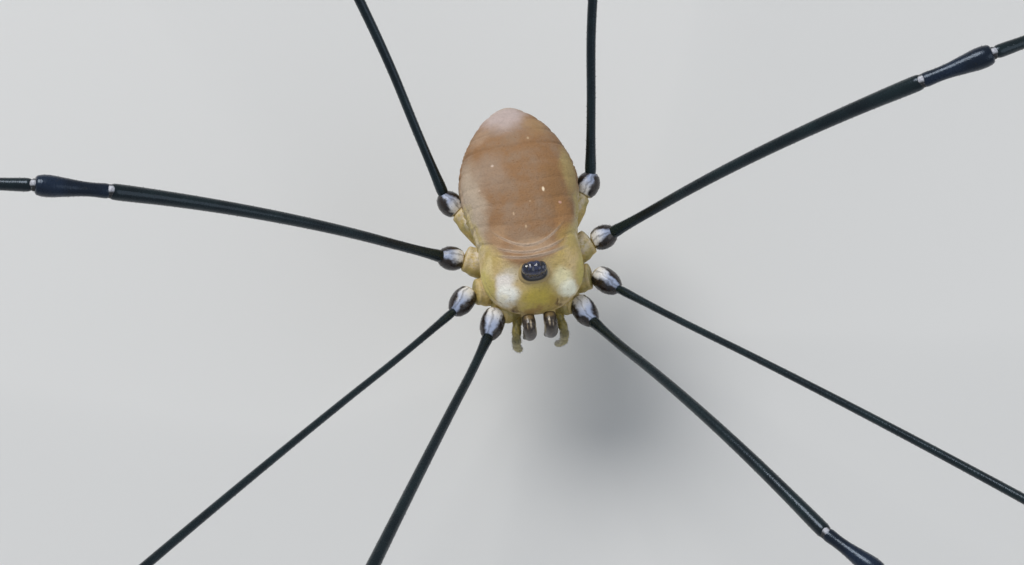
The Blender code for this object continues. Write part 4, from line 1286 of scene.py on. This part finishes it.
def trochanter_black():
    """Brown-black, and lilac-white on top, the band partly pigment and partly a painted highlight: broad at
    the inner end and narrow at the femur.
    """
    material, tree, shader = new_material("trochanter_cuticle", coat_weight=0.22, coat_roughness=0.15)
    place = body_millimetres(tree)
    height, mottle = grain(tree, place, 0.030, 0.7)
    along = attribute(tree, "along")
    cloud = calc(tree, "SUBTRACT", noise(tree, place, 5.0, 3.0, 0.6), 0.5)
    aside = calc(tree, "MULTIPLY_ADD", cloud, 0.90, attribute(tree, "aside"))
    broad = calc(tree, "MULTIPLY_ADD", eased_node(tree, parts(tree, place)["Y"], -1.30, -1.60), 0.14, 0.52)
    width = calc(tree, "MULTIPLY_ADD", eased_node(tree, along, 0.30, 0.90), -0.28, broad)
    beyond = calc(tree, "SUBTRACT", calc(tree, "ABSOLUTE", aside), width)
    streak = eased_node(tree, calc(tree, "ABSOLUTE", calc(tree, "SUBTRACT", aside, 0.10)), 0.0, 0.16)
    streak = calc(tree, "MULTIPLY_ADD", streak, 0.45, 0.48)
    on_top = eased_node(tree, attribute(tree, "rise"), 0.05, 0.35)
    # The band on top is partly pale pigment and partly a painted highlight, white near the body and bluish
    # towards the femur.
    pale_and_highlight_band = product(tree, eased_node(tree, beyond, 0.15, -0.15), on_top, streak)
    black = mixed(tree, eased_node(tree, mottle, 0.42, 0.66), (0.022, 0.013, 0.009), (0.009, 0.009, 0.011))
    pale_and_highlight = mixed(tree, eased_node(tree, along, 0.20, 0.70), (0.84, 0.82, 0.80), (0.36, 0.42, 0.58))
    colour = mixed(tree, pale_and_highlight_band, black, pale_and_highlight)
    colour = mixed(tree, eased_node(tree, along, 0.13, 0.05), colour, (0.50, 0.40, 0.20))
    duller = calc(tree, "MULTIPLY_ADD", pale_and_highlight_band, 0.22, 0.18)
    finish_cuticle(tree, shader, colour, (mottle, 0.20, duller), height, 0.005)
    return material


def tarsus_brown():
    """Dull brown-black, and paler towards the tip."""
    material, tree, shader = new_material("tarsus_cuticle", coat_roughness=0.4)
    height, mottle = grain(tree, body_millimetres(tree), 0.020, 0.5)
    brown = mixed(tree, eased_node(tree, mottle, 0.40, 0.65), (0.030, 0.023, 0.018), (0.017, 0.014, 0.012))
    outer = eased_node(tree, attribute(tree, "along"), 0.1, 0.9)
    brown = mixed(tree, outer, brown, (0.060, 0.042, 0.028))
    finish_cuticle(tree, shader, brown, (mottle, 0.25, 0.42), height, 0.003)
    return material


def joint_pale_and_glint():
    """Soft whitish skin that shows on top of a joint, between its dark side hinges; the whiteness on top is
    partly a painted glint.
    """
    material, tree, shader = new_material("joint_skin", coat_roughness=0.4)
    height, mottle = grain(tree, body_millimetres(tree), 0.018, 0.5)
    pale_and_highlight = mixed(tree, eased_node(tree, mottle, 0.35, 0.70), (0.56, 0.58, 0.64), (0.33, 0.33, 0.37))
    # Pale only on top of the joint: partly the skin's own paleness, partly a painted glint.
    on_top = eased_node(tree, attribute(tree, "rise"), 0.2, 0.5)
    inner = eased_node(tree, calc(tree, "ABSOLUTE", attribute(tree, "aside")), 0.80, 0.30)
    colour = mixed(tree, product(tree, inner, on_top), (0.012, 0.012, 0.014), pale_and_highlight)
    finish_cuticle(tree, shader, colour, (mottle, 0.3, 0.35), height, 0.004)
    return material


rod_tree = make_rod_tree()
hair_tree = make_hair_tree()
leg_cuticle = leg_black("leg_cuticle", (0.003, 0.006, 0.006), (0.006, 0.013, 0.013))
segment_looks = dict.fromkeys(SEGMENTS, leg_cuticle)
# The patella's navy tint is partly its own blue-black and partly a painted blue reflection of the sky.
segment_looks["patella"] = leg_black("patella_cuticle", (0.004, 0.007, 0.014), (0.008, 0.015, 0.032))
segment_looks["trochanter"] = trochanter_black()
segment_looks["tarsus"] = tarsus_brown()
segment_slots = dict.fromkeys(SEGMENTS, "leg_black")
segment_slots["trochanter"] = "trochanter_black"
segment_slots["tarsus"] = "tarsus_brown"
joint_skin = joint_pale_and_glint()


def joint_knobs(pair, lines):
    """A short collar across each joint beyond the trochanter, and a soft cushion on top of it."""
    strands = []
    for near, far in zip(SEGMENTS[1:], SEGMENTS[2:]):
        joint = lines[far][0]
        before = joint - lines[near][-2]
        after = lines[far][1] - joint
        ahead = before / np.linalg.norm(before) + after / np.linalg.norm(after)
        ahead /= np.linalg.norm(ahead)
        thick = min(through(RADII[near], [0.96])[0], through(RADII[far], [0.04])[0]) * PAIR_THICKNESS[pair]
        shares = close_at_ends(KNOB_STATIONS)
        points = joint + ahead * COLLAR_LENGTH * (shares[:, None] - 0.5)
        strands.append((points, thick * COLLAR_SWELL * (1 - (2 * shares - 1) ** 4) + 0.004))
        upwards = np.array((0, 0, 1)) - ahead * ahead[2]
        upwards /= np.linalg.norm(upwards)
        points = joint + upwards * thick * CUSHION_RISE + ahead * CUSHION_LENGTH * (shares[:, None] - 0.5)
        strands.append((points, thick * CUSHION_SWELL * np.sqrt(1 - (2 * shares - 1) ** 2) + 0.002))
    return strands


def claw_strand(line, radii):
    """One small hooked claw at the tip."""
    tip = line[-1]
    ahead = line[-1] - line[-4]
    ahead /= np.linalg.norm(ahead)
    shares = np.linspace(0, 1, CLAW_STATIONS)
    points = tip + ahead * CLAW_LENGTH * (shares[:, None] - 0.12)
    thickness = radii[-1] * 1.5 * (1 - shares) ** 0.7 + 0.002
    floor_z = -BODY_MIDDLE.z / MM + FLOOR_CLEARANCE
    arch = CLAW_ARCH * np.sin(np.pi * np.clip(shares * 1.15, 0, 1))
    fall = np.maximum(tip[2] - floor_z, 0) * (1 - shares)
    points[:, 2] = floor_z + fall + thickness * 0.6 * shares + arch
    return points, thickness


def plain_rod(name, strands, sides, material):
    """A rod without rings, or several in one object."""
    smooth = {"rings": 0.0, "ring_depth": 0.0}
    return grown(rod_curve(name, strands), rod_tree, sides=sides, material=material, **smooth)


def hair_coat(name, pieces, seed, sizes):
    """One object of all the hairs that stand on some pieces."""
    skin = bpy.data.collections.new(name)
    for piece in pieces:
        skin.objects.link(piece)
    hairs = bpy.data.objects.new(name, bpy.data.meshes.new(name))
    bpy.context.scene.collection.objects.link(hairs)
    hairs = grown(hairs, hair_tree, skin=skin, seed=seed, material=leg_cuticle, **sizes)
    bpy.data.collections.remove(skin)
    return hairs


def dress_leg(pair, side_name):
    lines = leg_lines(pair, side_name)
    leg_name = f"leg{pair}_{side_name}"
    pieces = []
    for column, segment in enumerate(SEGMENTS):
        points, radii = segment_strand(segment, pair, lines[segment])
        ringed = segment == "tarsus"
        inputs = {
            "sides": TARSUS_SIDES if ringed else SEGMENT_SIDES,
            "rings": float(round(full_length(points) / TARSUS_RING_LENGTH)) if ringed else 0.0,
            "ring_depth": TARSUS_RING_DEPTH if ringed else 0.0,
            "column": float(column),
            "material": segment_looks[segment],
        }
        piece = grown(rod_curve(f"{leg_name}_{segment}_skin", [(points, radii)]), rod_tree, **inputs)
        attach(piece, "root")
        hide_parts(f"{leg_name}_{segment}")
        pieces.append(piece)
    knobs = plain_rod(leg_name + "_joint_skins", joint_knobs(pair, lines), KNOB_SIDES, joint_skin)
    claw = plain_rod(leg_name + "_claw", [claw_strand(points, radii)], CLAW_SIDES, leg_cuticle)
    hairs = hair_coat(leg_name + "_hairs", pieces, pair, LEG_HAIRS)
    for piece in (knobs, claw, hairs):
        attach(piece, "root")


for side_name in SIDES:
    for pair in PAIR_THICKNESS:
        dress_leg(pair, side_name)

# Pedipalps. A pair of short slender feelers beside the jaws, of thin brownish yellow cuticle. Each
# has five short segments with a waist between one and the next, a tiny claw and many short hairs.
PALP_JOINTS = (
    (0.33, -1.55, -0.39),
    (0.415, -1.84, -0.40),
    (0.450, -2.02, -0.46),
    (0.455, -2.07, -0.72),
    (0.440, -2.03, -1.10),
    (0.350, -1.84, -1.74),
)
PALP_BELLIES = (0.100, 0.092, 0.090, 0.082, 0.066)
PALP_WAISTS = (0.10, 0.080, 0.076, 0.070, 0.056, 0.022)
PALP_CLAW = (0.342, -1.825, -1.82)
PALP_STATIONS = 150
PALP_SIDES = 24
PALP_HAIR_SEED = 7
PALP_HAIRS = {"spacing": 0.045 * MM, "length": 0.06 * MM, "width": 0.006 * MM, "lean": 1.2}


def palp_strand(side):
    """Bellies between waists, along a smooth path through the joints."""
    joints = np.array([mirrored(joint, side) for joint in PALP_JOINTS])
    shares = lengths_along(joints)
    stops = [(0.0, PALP_WAISTS[0])]
    for i, belly in enumerate(PALP_BELLIES):
        span = shares[i + 1] - shares[i]
        for place, size in ((0.22, 0.93), (0.60, 1.0), (0.88, 0.90)):
            stops.append((shares[i] + span * place, belly * size))
        stops.append((shares[i + 1], PALP_WAISTS[i + 1]))
    stops[-1] = (1.0, 0.012)
    stations = np.linspace(0, 1, PALP_STATIONS)
    return through(list(zip(shares, joints)), stations), through(stops, stations)


def palp_claw(side):
    start, end = mirrored(PALP_JOINTS[-1], side), mirrored(PALP_CLAW, side)
    shares = np.linspace(0, 1, 10)[:, None]
    points = start + (end - start) * shares + np.array((0, -0.02, 0)) * np.sin(np.pi * shares)
    return points, 0.016 * (1 - shares[:, 0]) ** 0.6 + 0.001


def palp_brown():
    """Olive yellow, darker along the top of the outer segments."""
    material, tree, shader = new_material("palp_cuticle", coat_weight=0.2, coat_roughness=0.3)
    height, mottle = grain(tree, body_millimetres(tree), 0.024, 0.6)
    yellow = mixed(tree, eased_node(tree, mottle, 0.38, 0.66), (0.44, 0.35, 0.100), (0.25, 0.21, 0.065))
    dusky = mixed(tree, eased_node(tree, mottle, 0.40, 0.62), (0.14, 0.120, 0.040), (0.075, 0.065, 0.026))
    outer = eased_node(tree, attribute(tree, "along"), 0.18, 0.34)
    shade = product(tree, outer, eased_node(tree, attribute(tree, "rise"), -0.3, 0.5))
    colour = mixed(tree, shade, yellow, dusky)
    finish_cuticle(tree, shader, colour, (mottle, 0.25, 0.30), height, 0.004)
    return material


palp_cuticle = palp_brown()
for side_name, side in SIDES.items():
    strands = [palp_strand(side), palp_claw(side)]
    palp = plain_rod("pedipalp_skin_" + side_name, strands, PALP_SIDES, palp_cuticle)
    hairs = hair_coat("pedipalp_hairs_" + side_name, [palp], PALP_HAIR_SEED, PALP_HAIRS)
    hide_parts("pedipalp_" + side_name)
    for piece in (palp, hairs):
        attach(piece, "root")
